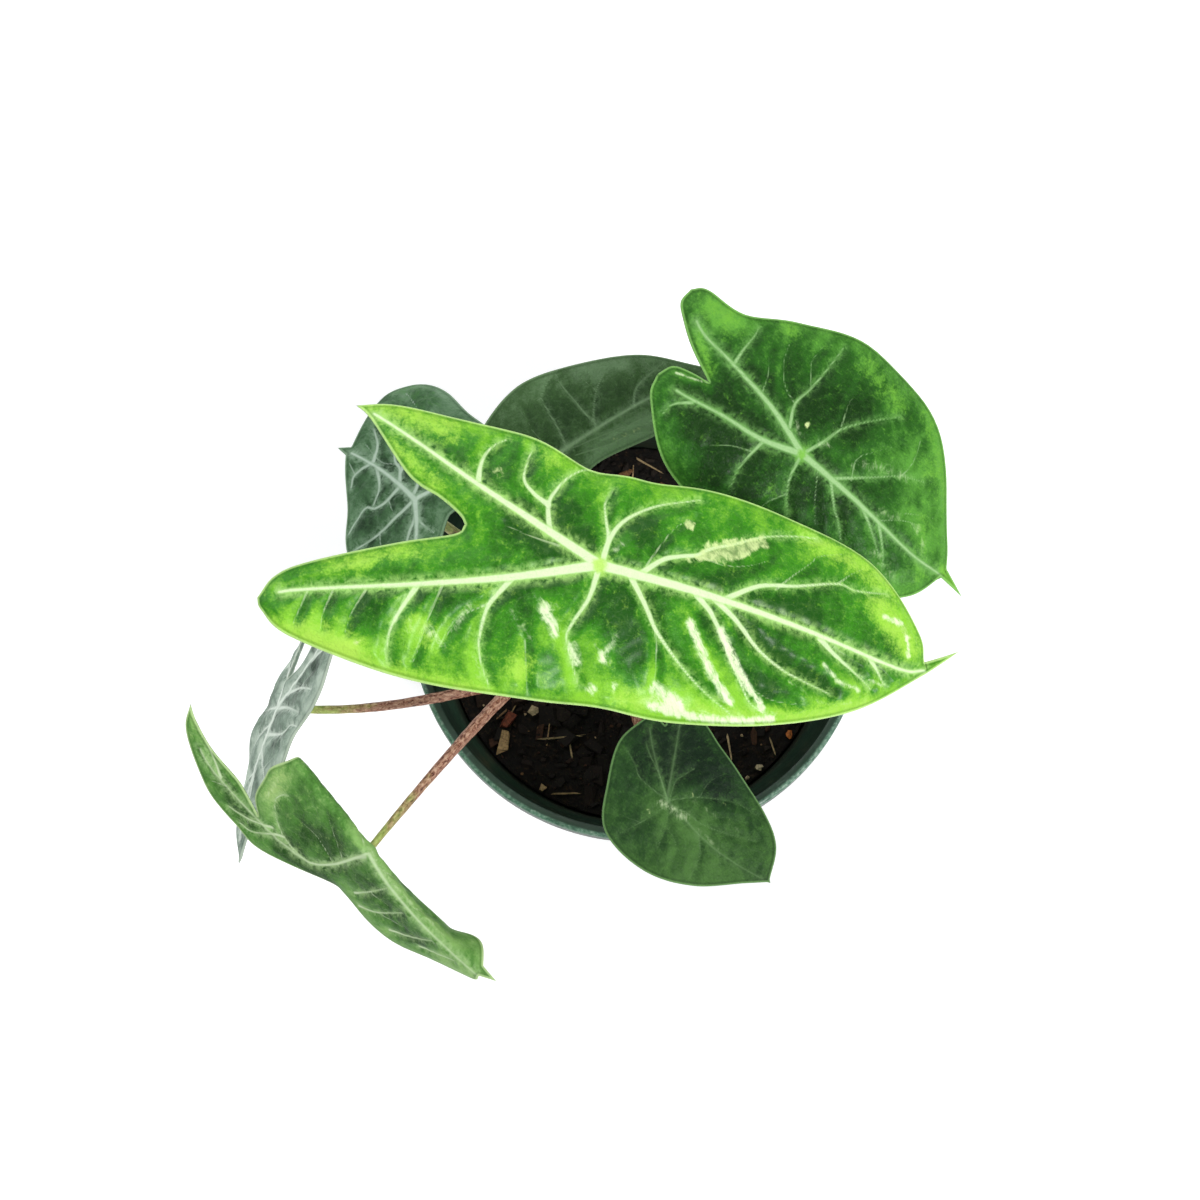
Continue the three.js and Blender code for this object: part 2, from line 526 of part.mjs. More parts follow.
function makeSoil() {
  const sides = 40;
  const rings = 9;
  const inner = (z) => insideRadius(z) - CLEAR - 0.15;
  const points = [];
  const faces = [];
  const row = [];
  for (let j = 1; j <= rings; j++) row.push([inner(SOIL_TOP - 3) * j / rings, null]);
  row.push([inner(FLOOR + 6), FLOOR + 6], [inner(FLOOR) - 3, FLOOR + CLEAR]);
  for (const [r, z] of row) {
    for (let k = 0; k < sides; k++) {
      const a = 2 * Math.PI * k / sides;
      const x = r * Math.cos(a);
      const y = r * Math.sin(a);
      points.push([x, y, z ?? SOIL_TOP + crumb(x, y) * Math.min(1, 1.4 - r / 60) - (r > 68 ? 2 : 0)]);
    }
  }
  points.push([0, 0, SOIL_TOP + crumb(0, 0)], [0, 0, FLOOR + CLEAR]);
  const id = (j, k) => j * sides + k % sides;
  for (let k = 0; k < sides; k++) {
    faces.push([row.length * sides, id(0, k), id(0, k + 1)]);
    faces.push([row.length * sides + 1, id(row.length - 1, k + 1), id(row.length - 1, k)]);
    for (let j = 0; j < row.length - 1; j++) {
      faces.push([id(j, k), id(j + 1, k), id(j + 1, k + 1)], [id(j, k), id(j + 1, k + 1), id(j, k + 1)]);
    }
  }
  let soil = toManifold(makeGeometry(points, faces));
  for (const leaf of LEAVES) {
    const [x, y] = leaf.foot;
    soil = soil.subtract(peg((leaf.thick[0] + CLEAR) / Math.cos(Math.PI / 12), x, y, SOIL_TOP - STALK_SUNK - CLEAR, SOIL_TOP + 8, 12));
  }
  addMesh("soil", fromManifold(soil), SOIL_COLOR, 0.95);
}

makePot();
makeSoil();

export default group;
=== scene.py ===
# Potted alocasia in a nursery pot, looked down on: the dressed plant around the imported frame.
# Sizes are millimetres until a mesh is finished, and metres in Blender.
import math
import random
import bmesh
import bpy
import numpy as np
from mathutils import Euler, Matrix, Vector


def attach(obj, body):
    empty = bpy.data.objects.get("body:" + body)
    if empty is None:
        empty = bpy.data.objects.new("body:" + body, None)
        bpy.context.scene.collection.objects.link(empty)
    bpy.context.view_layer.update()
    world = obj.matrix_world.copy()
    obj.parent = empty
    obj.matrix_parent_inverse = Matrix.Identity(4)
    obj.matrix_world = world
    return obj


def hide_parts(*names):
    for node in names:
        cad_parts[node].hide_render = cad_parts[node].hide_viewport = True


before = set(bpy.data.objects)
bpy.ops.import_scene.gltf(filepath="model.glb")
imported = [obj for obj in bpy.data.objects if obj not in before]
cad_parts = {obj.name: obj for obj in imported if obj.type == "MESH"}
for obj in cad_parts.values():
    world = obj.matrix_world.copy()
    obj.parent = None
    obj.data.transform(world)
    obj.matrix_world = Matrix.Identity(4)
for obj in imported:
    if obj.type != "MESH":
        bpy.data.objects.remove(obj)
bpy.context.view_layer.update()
MM = 0.001
FINE = 1.0
FULL_TURN = 2 * math.pi

# A blade's mesh: length of a row, cells across its underside, half thickness, how far in its edge is rounded,
# how far its middle lies under the drawn surface, and how much of the boss over the stalk is inside the blade
ROW_STEP, UNDER_CELLS, HALF_THICK, ROUNDED, MIDDLE_LOW, BOSS_LOW = 0.62, 22, 0.34, 0.5, 0.36, 0.6
NECK = -0.06                           # where the drip tip joins the blade, as a share of the tip's length
KINDS = ("yellow", "dark", "light", "cream", "shine", "ridge")

# Pot and mix, as in the part's source
POT_HEIGHT, LIP_RADIUS, LIP_HEIGHT, WALL = 120, 77.5, 8, 1.4
TOP_RADIUS, BAND_HEIGHT, BAND_STEP, FOOT_RADIUS, FLOOR = 75.2, 26, 1.1, 55, 2.4
DRAIN_RING, DRAIN_RADIUS, DRAINS = 38, 5, 6
SOIL_TOP, CLEAR, STALK_SUNK = 88, 0.3, 12

# Leaves, drawn flat from the stalk: x along the midrib to the tip, y to its left. A line's points are x,y pairs.
# turn: heading, pitch and roll. fold, cup, arch, wave, sag, open and twist bend the blade.
# middle and basal: the three main ribs. side and thin: the veins between them.
# yellow to ridge: patches of colour, painted light and shade, and wrinkles, each with its half width, strength
# and line. shine marks are painted highlights; light and dark marks are partly paler and darker tissue and
# partly painted sheen and painted shade.
# rows: the part's own rows behind the stalk and along the lobe, which set where the basal ribs run.
# palette: dark, mid, light, vein, underside and yellow. skin: how the finish differs from the usual leaf.
LEAVES = {}
LEAVES["blade_1_big"] = dict(
    at=(-13, -21.2, 285), turn=(-14, 12, 0), fold=(6, 6, 4, 4), cup=(0.003, 0.003, 0.002, 0.002),
        arch=(0.004, 0.003), wave=(1.6, 9, 0.5),
    tail=(11, 8.2), sinus=5, cells=58, rows=(7, 8),
    left=[105,3, 99,12, 80,27, 51,31, 23,30, -6,26, -28,30, -53,30, -66,29, -75,26],
    notch=[-75,26, -70,23, -56,10, -46,6, -40,3, -38,1, -40,-2, -54,-8, -76,-19, -84,-25, -87,-32],
    right=[-87,-32, -85,-35, -76,-40, -50,-43, -22,-42, 5,-38, 34,-35, 60,-28, 86,-16, 105,3],
    rib=(1.35, 0.35), vein=(0.8, 0.14), puff=0.75, swell=0.7,
    middle=[104,1.5, 94,-0.8, 60,0.4, 30,0.8],
    basal=[[-23,7.6, -40,13.5, -54,19, -68,24.2], [-23,-10, -47,-18.4, -68,-24.7, -80,-28.5]],
    side=[[-37.5,13.5, -38,18, -37.5,22, -35.5,25.5, -33,27.5],
        [-15.5,5.5, -17.5,12.5, -16.5,17, -14,21.5, -10.5,25, -6,26.5],
        [-17.5,12.5, -22,14.5, -25.5,17.5, -26,21.5, -25.5,27], [0.5,1, 0.5,8, -1.5,13.5, -2.5,17.5, -1.5,21.5],
        [0.5,3, 1,8, 3,13, 7,17.5, 12.5,21.5, 20,25, 23.5,26.5],
        [11,0.5, 16.5,6.5, 21,9, 26,11, 29.5,14, 36,17.5, 44.5,22.5, 54,26, 62,28],
        [36,1, 45.5,8, 56.5,11.5, 69.5,16.5, 76,16.5, 86.5,19],
        [9,-0.5, 15,-7, 19.5,-12.5, 25,-17, 31.5,-21.5, 38,-25, 46.5,-28.5],
        [28,0, 33.5,-3.5, 38,-8.5, 42.5,-14, 47.5,-19.5, 52,-24, 57.5,-25.5],
        [33,0.5, 40.5,-3, 50,-9, 58.5,-12, 65,-13, 75.5,-14], [67,-0.5, 73.5,-3.5, 82,-6.5, 88,-9],
        [84.5,-0.8, 89,-4, 92,-6.5], [0,-1, -0.5,-9.5, -3,-17, -3.5,-21.5, 0.5,-28.5, 3,-32.5],
        [-22,-10, -26,-18, -26.5,-23, -26,-29.5, -23.5,-35, -20.5,-39.5],
        [-46,-18.5, -49,-27, -50,-32, -49.5,-37.5, -48.5,-40.5]],
    thin=[[12.5,3.5, 15,10, 18.5,17, 23,20.5], [50.5,8.5, 54.5,13.5, 60.5,20, 62.5,22.5, 70.5,26],
        [-39.5,-16.5, -41,-27, -41.5,-35, -42,-38.5], [-74,-26.5, -75,-32.5, -75.5,-36.5],
        [-67.5,-25, -68.5,-32, -68,-36], [-14.5,-25, -12,-33, -10,-39], [-59,-23, -61,-29.5, -61.5,-35.5],
        [-12,2, -20.5,2.5, -27.5,3.5], [26,11, 34,10.5, 41,12.5, 47,16], [19.5,-12.5, 22,-20, 24,-28],
        [47.5,-19.5, 58,-21, 66,-20], [69.5,16.5, 74,21, 78,24], [-26,-18, -33,-24, -36,-33]],
    yellow=[(4, 0.8, -62,-40, -70,-37), (3, 0.7, -44,-28, -40,-31), (4, 0.7, -14,-33), (2.5, 0.7, -28,-14),
        (3, 0.5, -62,-17), (5, 0.9, 84,14, 95,6), (5, 0.8, -50,26, -70,27), (3.2, 2, 0,0),
        (2.6, 0.9, 15,-33, 60,-26, 88,-13), (2.2, 0.8, -80,-38, -50,-42, -20,-41), (3, 0.8, 58,27, 88,22),
        (4, 0.6, -20,25), (2.5, 0.6, -48,9, -62,17), (2.5, 0.6, -48,-8, -70,-19), (3.5, 1.2, -59,-39),
        (3.5, 0.4, -13.5,-32)],
    dark=[(4.5, 1.1, -7,3.5, -24,4), (7, 0.8, 9,-9, 13,-20), (7, 0.8, -15,-17), (3, 1.1, 31,-6, 45,-15, 56,-20),
        (6, 0.7, 10,12), (3.5, 0.9, 44,-7, 58,-9), (3.5, 0.7, 48,3, 62,5), (2, 0.8, 64,-11, 80,-13),
        (5, 0.7, -34,-22), (5, 0.6, -54,-27), (3, 0.6, 30,4, 38,8), (5, 0.5, -28,22), (4, 0.4, 62,-17, 52,-18),
        (4, 0.4, -12,12), (7, 0.3, 60,6)],
    light=[(9, 0.1, -80,-33, -50,-35, -20,-34)],
    cream=[(3, 1.1, 30.5,13, 36.5,16), (2.2, 0.9, 36.5,16, 44.5,21), (1.8, 0.9, 22,18.5),
        (1.4, 0.6, 24,9, 29,12), (1.8, 0.5, 88,11.5, 93,11, 96,5), (2.4, 0.5, -33,18), (1.3, 0.5, -12.5,-31),
        (1.6, 0.55, -58,-37)],
    shine=[(1.3, 0.9, 86,11.5, 92,11.8), (0.9, 0.9, 94.5,8.5, 96.5,3.5), (1.7, 1, 28,-8, 36,-17.5, 45,-25.5),
        (2, 0.95, -11.5,-16, -7,-21), (1.7, 0.85, -1.5,-23, 1,-27), (1.8, 0.6, -40,-29, -36,-32),
        (1.4, 0.55, -48.5,-24, -49.5,-29), (1.7, 0.55, -31,-20, -34,-28), (1.6, 0.55, 9,-18, 7,-25),
        (1.8, 1, 6.5,-33), (1.4, 0.5, 3,5, 6,9), (2.2, 1, 24,-27.5, 31,-30),
        (1.5, 1, 37.5,-7.5, 46.5,-17, 55.5,-24), (1.6, 0.95, 24,-32.5, 38,-32, 50,-29.5, 60,-26),
        (1.7, 0.8, 12.5,-30.5), (1, 0.7, 70,-7, 76,-10, 84,-10.5), (0.9, 0.6, 86,-6.5, 92,-6.8),
        (0.9, 0.4, 62,-14.5, 74,-17, 84,-14), (1.4, 0.5, -20,-19, -13,-24), (1.6, 0.4, -26,-33, -24,-37),
        (1.6, 0.4, -45,-27, -46,-33), (1.3, 0.4, 4,-21, 9,-25), (1.2, 0.4, -16,-13, -9,-14)],
    ridge=[(2.2, 1, 27,-8, 36,-18.5, 46,-27), (2.2, 0.9, 38,-8, 47,-17.5, 57,-25),
        (2.4, 0.7, 56,-6, 70,-8.5, 86,-9), (3, 0.6, 20,-24, 30,-30)],
    foot=(-13, -10.6), stalk=(-0.15, 0.1, -1), thick=(3.2, 1.9), reach=(90, 60),
    finish="bright", palette=[(26, 82, 10), (58, 136, 22), (136, 204, 52), (222, 244, 192), (120, 168, 88),
        (176, 224, 84)],
    skin=dict(rough=0.36, net=0.06, halo=0.6, coat=0.2, side=0.8, thin=0.4, blotch=0.7))
LEAVES["blade_2_broad"] = dict(
    at=(45.1, 19.5, 250), turn=(-38, 16, 0), fold=(8, 8, 6, 6), cup=(0.004, 0.004, 0.004, 0.004),
        arch=(0.005, 0.004), wave=(1.2, 7, 2),
    tail=(9.5, -1), sinus=4, cells=52, rows=(7, 5),
    left=[58,3, 53,12, 40,28, 22,40, -3,41, -24,32, -38,22, -51,21, -55,18],
    notch=[-55,18, -55,13, -51,9, -44,4, -34,-1, -40,-2, -45,-4, -47,-9],
    right=[-47,-9, -44,-16, -30,-27, -9,-31, 13,-29, 40,-21, 53,-10, 58,3],
    rib=(0.9, 0.25), vein=(0.5, 0.1), puff=0.6,
    middle=[57,1.8, 44,0, 20,0.3],
    basal=[[-15,4.7, -32,7.6, -46,10], [-12,-4.5, -25,-6.4, -38,-9]],
    side=[[-31.5,7.5, -32,13, -32,18.5, -32.5,21.5], [-7.5,3.5, -10.5,10.5, -9.5,17.5, -9,26.5, -9,34.5],
        [0,0, 3,7.5, 5,14, 10.5,22, 18,30.5], [11.5,0.4, 17,5.5, 22.5,10.5, 28.5,16, 36,20],
        [0,0, 1.5,-7, 4,-11.5, 8,-16], [11,0.3, 17.5,-5.5, 21,-7.5, 25.5,-11],
        [-11,-4.4, -11.5,-9.5, -11.5,-15, -10,-20.5], [31,0, 36,-4, 40.5,-8], [24,0.1, 30.5,-3, 37.5,-7],
        [-34,-9, -38,-13, -38.5,-17]],
    thin=[[-11,10.5, -16,12.5, -20.5,18, -22.5,24], [4.5,14.5, 2.5,21, 2,25], [16.5,4, 14,10, 17,15.5, 22.5,23],
        [-12,-9, -17.5,-11.5, -22.5,-15.5], [6.5,-0.5, 11.5,-7.5, 16.5,-13], [-9.5,17.5, -14,24, -14,31],
        [28.5,16, 29,22, 27,29], [36,8, 42,12, 46,14], [30,0.2, 37,6, 44,9], [4,-11.5, 1,-18, 2,-24],
        [-20,6, -22,12, -26,18]],
    yellow=[(4, 0.8, -40,17, -46,17), (3.5, 0.7, -25,28), (3.5, 0.6, 0,35, 15,33), (3.5, 0.6, 35,23),
        (3, 0.5, 51,-4, 42,10), (3, 0.4, 0,-14), (2.4, 1.9, 0,0), (2.6, 1.6, 57,3, 66,3),
        (2, 0.7, -45,9, -36,1), (2.5, 0.5, 48,19, 24,37), (2.5, 0.5, 20,-26, 45,-17)],
    dark=[(9, 0.6, -5,14, 6,20), (7, 0.5, 20,-5, 8,-8), (11, 0.75, -28,-6, -14,-18), (5, 0.4, 28,9)],
    light=[(12, 0.22, 26,24, 44,12), (8, 0.3, -44,15), (8, 0.1, 44,-8)],
    cream=[(1, 0.8, -4,7.5), (1.7, 0.3, 24,14.5), (2, 0.25, 42,10), (1.5, 0.5, -18,-24)],
    shine=[(0.6, 0.65, -34,-1.5, -38,-3.4, -43,-5.2), (2.4, 0.42, 14,8, 24,15, 30,17), (2.4, 0.4, 40,8, 47,4),
        (2.2, 0.35, 28,2, 36,6), (1.2, 0.5, 2,6, 6,8), (1.4, 0.45, -7,6, -3,4), (2.6, 0.42, 36,-7, 44,-9)],
    ridge=[(2, 0.8, -34,-3, -41,-5)],
    foot=(-3.1, -5.2), stalk=(-0.3, 0.1, -1), thick=(2.8, 1.7), reach=(80, 50),
    finish="deep", palette=[(20, 54, 12), (42, 96, 26), (90, 156, 56), (160, 200, 138), (104, 142, 88),
        (120, 186, 60)],
    skin=dict(rough=0.42, net=0.05, halo=0.45, coat=0.04, side=0.8, thin=0.5, blotch=0.7))
LEAVES["blade_3_silver"] = dict(
    at=(-68.8, 15.1, 215), turn=(141, 26, 0), fold=(8, 8, 6, 6), cup=(0.004, 0.004, 0.004, 0.004),
        arch=(0.001, 0.003), wave=(0.9, 6, 1),
    tail=(4, 1), sinus=2, cells=56, rows=(4, 7),
    left=[33,-1, 22,12, 11,24, 0,31, -13,34, -20,28],
    notch=[-20,28, -18,13, -14,-2, -14,-15, -9,-28],
    right=[-9,-28, 1,-33, 12,-34, 23,-36, 31,-35, 37,-31, 41,-24, 39,-14, 33,-1],
    rib=(0.8, 0.3), vein=(0.6, 0.22), puff=0.8,
    middle=[31,-1, 20,-1.8, 9,-1.2],
    basal=[[-8,8, -15,18], [-5,-12]],
    side=[[0.5,0, -3.5,3.5, -8,5, -12.5,5], [-4,4, -5.5,9, -7.5,13, -12,20],
        [8,-1.5, 8.5,4.5, 10.5,9, 14,10.5, 14,15.5, 13,20.5], [0.5,1, 2,8, 3.5,14.5, 6,20, 8,24],
        [19.5,-1.5, 14,3, 12,8.5], [22.5,-2.5, 24.5,4, 23,8], [22.5,-2.5, 26.5,-8, 33,-12],
        [9.5,-2, 13,-5.5, 17,-7, 24,-13], [2,-1, 4,-5.5, 5.5,-9, 9,-18, 16,-27], [12,-5, 17,-14, 26,-22]],
    thin=[[35,-28, 27,-25.5, 16,-21], [3.5,14.5, -2,20, -5,26], [8.5,4.5, 2,8], [24.5,4, 29,2],
        [14,-7, 20,-4, 30,-6], [9,-18, 2,-24]],
    yellow=[(7, 0.55, 24,-27, 32,-30), (2, 0.4, 33,-34, 39,-26)],
    dark=[(6, 0.4, 10,17), (4, 0.5, 15,-4), (4, 0.5, 24,-30, 30,-31)],
    ridge=[(6, 1.6, 21,-26, 28,-28)],
    foot=(-17.2, -1.3), stalk=(0.4, -0.25, -0.9), thick=(2.4, 1.5), reach=(70, 40),
    finish="silver", palette=[(34, 60, 36), (68, 104, 68), (116, 150, 116), (186, 206, 188), (108, 128, 108),
        (62, 116, 46)],
    skin=dict(rough=0.5, net=0.16, net_size=0.12, halo=0.65, side=0.8, web_wide=0.09, blotch=0.9))
LEAVES["blade_4_grey"] = dict(
    at=(-29.5, 25.3, 220), turn=(33, 14, 12), fold=(10, 10, 6, 6), cup=(0.004, 0.004, 0.004, 0.004),
        arch=(0.004, 0.003), wave=(0.9, 7, 0),
    tail=(5, 0), sinus=2, cells=44, rows=(3, 3),
    left=[76,-5, 62,6, 48,16, 31,22, 13,25, 2,24, -12,18, -20,11, -22,4],
    notch=[-22,4, -16,1, -12,-1, -16,-8, -19,-18],
    right=[-19,-18, -8,-19, 5,-12, 16,-8, 38,-9, 57,-9, 76,-5],
    rib=(0.6, 0.15), vein=(0.34, 0.1), puff=0.6,
    middle=[70,-3, 55,0.5, 40,2.2, 20,1.5],
    basal=[[-9,4, -17,6], [-8,-6, -15,-13]],
    side=[[8.5,1, 9.5,7, 10,14, 10.5,18, 14,21, 18,23], [20,1.5, 22.5,6.5, 27.5,12, 33.5,16],
        [35.5,2.5, 40,7, 47.5,9, 53.5,10], [20.5,4.5, 19.5,10.5, 19,19, 19.5,23]],
    thin=[[10,-2.5, 22,-4.5, 30.5,-5, 38,-7.5], [7.5,0, 20,-1, 30.5,-2, 39,-2.5], [10.5,18, 6.5,18],
        [27.5,12, 26,18], [47,9, 49,14], [50,1, 58,5], [5,2, 2,9, 3,17]],
    dark=[(6, 0.4, 15,12), (5, 0.35, 35,9)],
    light=[(5, 0.75, 20,-5, 45,-6), (4, 0.3, 28,18, 40,15)],
    cream=[(1.4, 0.35, 24,-4, 36,-5)],
    foot=(-8.8, 0.2), stalk=(-0.2, -0.1, -1), thick=(2.4, 1.5), reach=(70, 45),
    finish="grey", palette=[(38, 64, 32), (62, 92, 52), (104, 134, 96), (136, 164, 126), (100, 124, 96),
        (88, 120, 74)],
    skin=dict(rough=0.5, net=0.1, net_size=0.24, halo=0.35, side=0.55, thin=0.4, ribs=0.7))
LEAVES["blade_5_young"] = dict(
    at=(8.2, -69.1, 160), turn=(-44, 10, 0), fold=(4, 4, 4, 4), cup=(0.004, 0.004, 0.004, 0.004),
        arch=(0.004, 0.004), wave=(0.8, 6, 0),
    tail=(1, 0), sinus=2, cells=48, rows=(4, 3),
    left=[42,5, 36,15, 26,20, 12,23, 1,25, -8,27, -15,25],
    notch=[-15,25, -18,21, -17,17, -21,17, -23,16],
    right=[-23,16, -24,3, -17,-10, -7,-21, 11,-21, 26,-13, 37,-1, 42,5],
    rib=(0.4, 0.1), vein=(0.12, 0.02), puff=0.45,
    middle=[40,4, 30,1.2, 18,-0.5],
    basal=[[-8,12, -14,21], [-12,7, -19,12]],
    side=[[1,0, -2,6, -1.5,9.5, -0.5,13.5], [0.5,0, -7,4, -13.5,6.5, -17.5,8.5],
        [0,0, -10.5,-1, -15,1, -20,2.5], [2,-1, 5.5,-6, 8.5,-12.5], [4.5,0, 7,1.5, 13.5,2.5, 21.5,6, 30,11],
        [1,1, 7,8, 16.5,15, 25.5,17.5], [1.5,-1.5, -1,-11, -3,-18.5], [15,-0.7, 20,-5, 23,-12.5]],
    thin=[[7,8, 6,14, 8,20], [5.5,-6, 12,-8, 16,-14], [13.5,2.5, 17,9, 24,13], [24,0, 29,-4], [-1,-11, -8,-14]],
    dark=[(12, 0.8, -14,12, -4,20, 8,20)],
    light=[(8, 0.25, -2,-2, 12,2), (11, 0.35, 16,-6, 26,2)],
    cream=[(1.5, 0.45, -1.5,-6.5), (1.3, 0.4, 5,7), (1.3, 0.35, 14.5,12.5), (1.4, 0.3, 18.5,10)],
    shine=[(2.4, 0.5, -1,-2, 8,0.5), (1.4, 0.3, 4,6, 12,7, 24,10), (1, 0.35, 14,0.5, 24,0.5)],
    foot=(-6, -18.5), stalk=(-0.1, 0.3, -0.95), thick=(2, 1.3), reach=(35, 25),
    finish="young", palette=[(22, 40, 25), (40, 72, 34), (74, 114, 54), (146, 180, 128), (96, 128, 84),
        (84, 134, 58)],
    skin=dict(rough=0.48, net=0.05, halo=0.16, side=0.4, thin=0.2, blotch=0.5, ribs=0.2))
LEAVES["blade_6_hanging"] = dict(
    at=(-119.3, -35.6, 138), turn=(-113, 12, 62), fold=(0, 0, 0, 14), cup=(0.002, 0.002, 0.002, 0.002),
        arch=(0.003, 0.002), wave=(0.8, 6, 1),
    tail=(2, 0), sinus=3, cells=50, rows=(3, 8),
    left=[49,13, 42,14, 33,15, 24,19, 14,27, 2,25, -8,30, -16,32, -25,29, -33,22, -39,12],
    notch=[-39,12, -29,7, -17,4, -8,-2, -16,-5, -27,-7, -37,-10],
    right=[-37,-10, -30,-15, -20,-17, -10,-18, -3,-20, 5,-20, 15,-18, 28,-8, 42,2, 49,13],
    rib=(0.9, 0.3), vein=(0.65, 0.2), puff=0.8,
    middle=[44,9, 30,3, 15,0.5],
    basal=[[-14,9, -28,15], [-12,-6.5, -25,-10]],
    side=[[5,0, 12.5,-10, 18.5,-12], [9.5,0.4, 6,14, 2,18, 1,23], [15,0.5, 20,8, 23,14], [-6,4, -10,14, -12,24],
        [24,2, 32,6, 38,11], [-8,-4.5, -12,-11, -14,-16], [0,0, 2,-8, 4,-16], [22,1.5, 26,-3, 30,-4],
        [-20,12, -26,19, -29,23], [0,1, -2,9, -3,20]],
    thin=[[6,14, 12,19], [-10,14, -18,20], [12.5,-10, 6,-14], [20,8, 14,14], [-14,-5.5, -20,-12],
        [2,-8, -4,-12], [34,6, 30,11]],
    dark=[(4, 0.9, 3,-17), (3, 0.9, -13,-6), (5, 0.5, -20,20)],
    light=[(7, 0.4, 15,4)],
    foot=(-22, -17), stalk=(0.88, -0.02, -0.45), boss=3.2, thick=(2.4, 1.3), reach=(50, 50),
    finish="teal", palette=[(58, 76, 62), (126, 146, 130), (186, 202, 186), (222, 232, 220), (112, 132, 118),
        (140, 156, 128)],
    skin=dict(rough=0.52, net=0.22, net_size=0.1, halo=0.75, web_wide=0.1, blotch=1.5))
LEAVES["blade_7_folded"] = dict(
    at=(-84.9, -89.4, 182), turn=(-50, 6, 54), fold=(146, 0, 146, 0), cup=(0, 0.003, 0, 0.002),
        arch=(0.003, 0.002), soft=2.5, twist=(0.3, 0.4), sag=(4, 52), open=(0.45, 34, 52), wave=(0.5, 6, 1),
    tail=(5, 2), sinus=4, cells=52, rows=(9, 9),
    left=[50,3, 42,11, 29,15, 16,13, 5,9, -6,10, -18,16, -28,18, -36,11, -38,-0.5],
    notch=[-38,-0.5, -40,-8, -39,-13, -37,-21, -32,-26, -40,-23, -45,-22, -56,-22, -66,-20, -71,-18],
    right=[-71,-18, -66,-25, -53,-32, -45,-35, -34,-36, -23,-36, -2,-25, 5,-24, 25,-25, 38,-17, 50,-4, 50,3],
    ribs=(0, 0, 1), aside=1.6, painted=(0, 2), rib=(0.5, 0.2), vein=(0.42, 0.14), puff=0.5,
    middle=[50,-0.6, 46,-1.6, 39,-3, 26,-4, 13,-3, 6,-1.6],
    basal=[[-12,0, -25,0], [-2,-5, -5,-15, -10,-23, -20,-26, -28,-27, -41,-27, -56,-26]],
    side=[[-0.5,1, -2,-5, -5,-15.5, -10,-23, -16,-24.5, -21.5,-24, -27,-21, -31.5,-16, -31.5,-12, -30,-10],
        [-21.5,-24, -24,-26, -29,-32.5, -34,-34], [-26,-25, -33,-30, -40,-32.5],
        [-48,-26.5, -53,-24, -58,-22, -64,-20], [6,-18.5, 9,-11, 11.5,-3], [10,-22, 15.5,-16.5, 20.5,-6],
        [22,-20, 28,-14, 33,-5], [32,-15, 38,-9, 42,-4]],
    thin=[[9,-11, 16,-9], [-5,-15, -14,-12, -22,-13], [-4,-10, -10,-6, -18,-1], [15.5,-16.5, 24,-12],
        [-33,-30, -30,-35], [-45,-27, -50,-31], [8,2, 14,8], [22,0, 28,8], [-4,3, -12,10]],
    yellow=[(3.5, 0.7, -36,-6, -33,-16), (2.5, 0.4, -71,-18, -62,-21)],
    dark=[(3.5, 1.1, -20,-28, -8,-25.5, -1.5,-25), (5, 0.3, 6,-7, 30,-9), (5, 0.6, -18,-14, -10,-10),
        (4, 0.5, 26,-16, 34,-12), (4, 0.5, -45,-29, -30,-30), (4, 0.25, 6,-10, 18,-14)],
    light=[(3, 0.5, -8,4, 20,1, 40,2), (5, 0.45, 38,-8, 46,-4)],
    shine=[(1.6, 0.45, -4,3.5, 14,0.5, 34,1), (1.8, 0.4, -36,-8, -34,-18)],
    foot=(-22.9, -7), stalk=(-0.31, -0.13, -0.94), boss=7, thick=(3, 1), reach=(80, 24),
    finish="folded", palette=[(40, 78, 28), (84, 136, 59), (136, 180, 100), (206, 224, 184), (104, 136, 92),
        (176, 204, 124)],
    skin=dict(rough=0.46, net=0.1, net_size=0.24, halo=0.6, ribs=0.55, side=0.85, blotch=0.7))


# ---------------------------------------------------------------- common tools

def tint(r, g, b):
    """A colour as a screen shows it, 0 to 255, in the linear values that a shader takes"""
    c = [v / 255 for v in (r, g, b)]
    return tuple(v / 12.92 if v < 0.04045 else ((v + 0.055) / 1.055) ** 2.4 for v in c) + (1.0,)


def put(name, data):
    """An object with the given data, in the scene"""
    thing = bpy.data.objects.new(name, data)
    bpy.context.collection.objects.link(thing)
    return thing


def mesh_of(name, bm):
    """A mesh of what was modelled"""
    mesh = bpy.data.meshes.new(name)
    bm.to_mesh(mesh)
    bm.free()
    return mesh


def sheet(name, places, notes):
    """A grid whose vertices are moved to their places, with a few values noted on each"""
    rows, cols = places.shape[:2]
    bm = bmesh.new()
    bmesh.ops.create_grid(bm, x_segments=cols - 1, y_segments=rows - 1, size=0.5)
    mesh = mesh_of(name, bm)
    mesh.vertices.foreach_set("co", (places * MM).astype(np.float32).ravel())
    for key, values in notes.items():
        note = mesh.attributes.new(key, "FLOAT_VECTOR", "POINT")
        note.data.foreach_set("vector", values.astype(np.float32).ravel())
    return mesh


def welded(name, sheets):
    """One closed mesh of several sheets: doubles merged, faces turned outwards"""
    bm = bmesh.new()
    for mesh in sheets:
        bm.from_mesh(mesh)
        bpy.data.meshes.remove(mesh)
    bmesh.ops.remove_doubles(bm, verts=bm.verts, dist=1e-6)
    bmesh.ops.dissolve_degenerate(bm, edges=bm.edges, dist=1e-7)
    bmesh.ops.recalc_face_normals(bm, faces=bm.faces)
    return mesh_of(name, bm)


def place_piece(name, mesh, finish, slot, *nodes, smooth=True):
    """A finished piece in the scene, with its material, its body and the nodes that it stands for"""
    piece = put(name, mesh)
    mesh.materials.clear()
    mesh.materials.append(finish)
    mesh.polygons.foreach_set("use_smooth", [smooth] * len(mesh.polygons))
    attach(piece, "root")
    if nodes:
        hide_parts(*nodes)


# ---------------------------------------------------------------- drawn lines

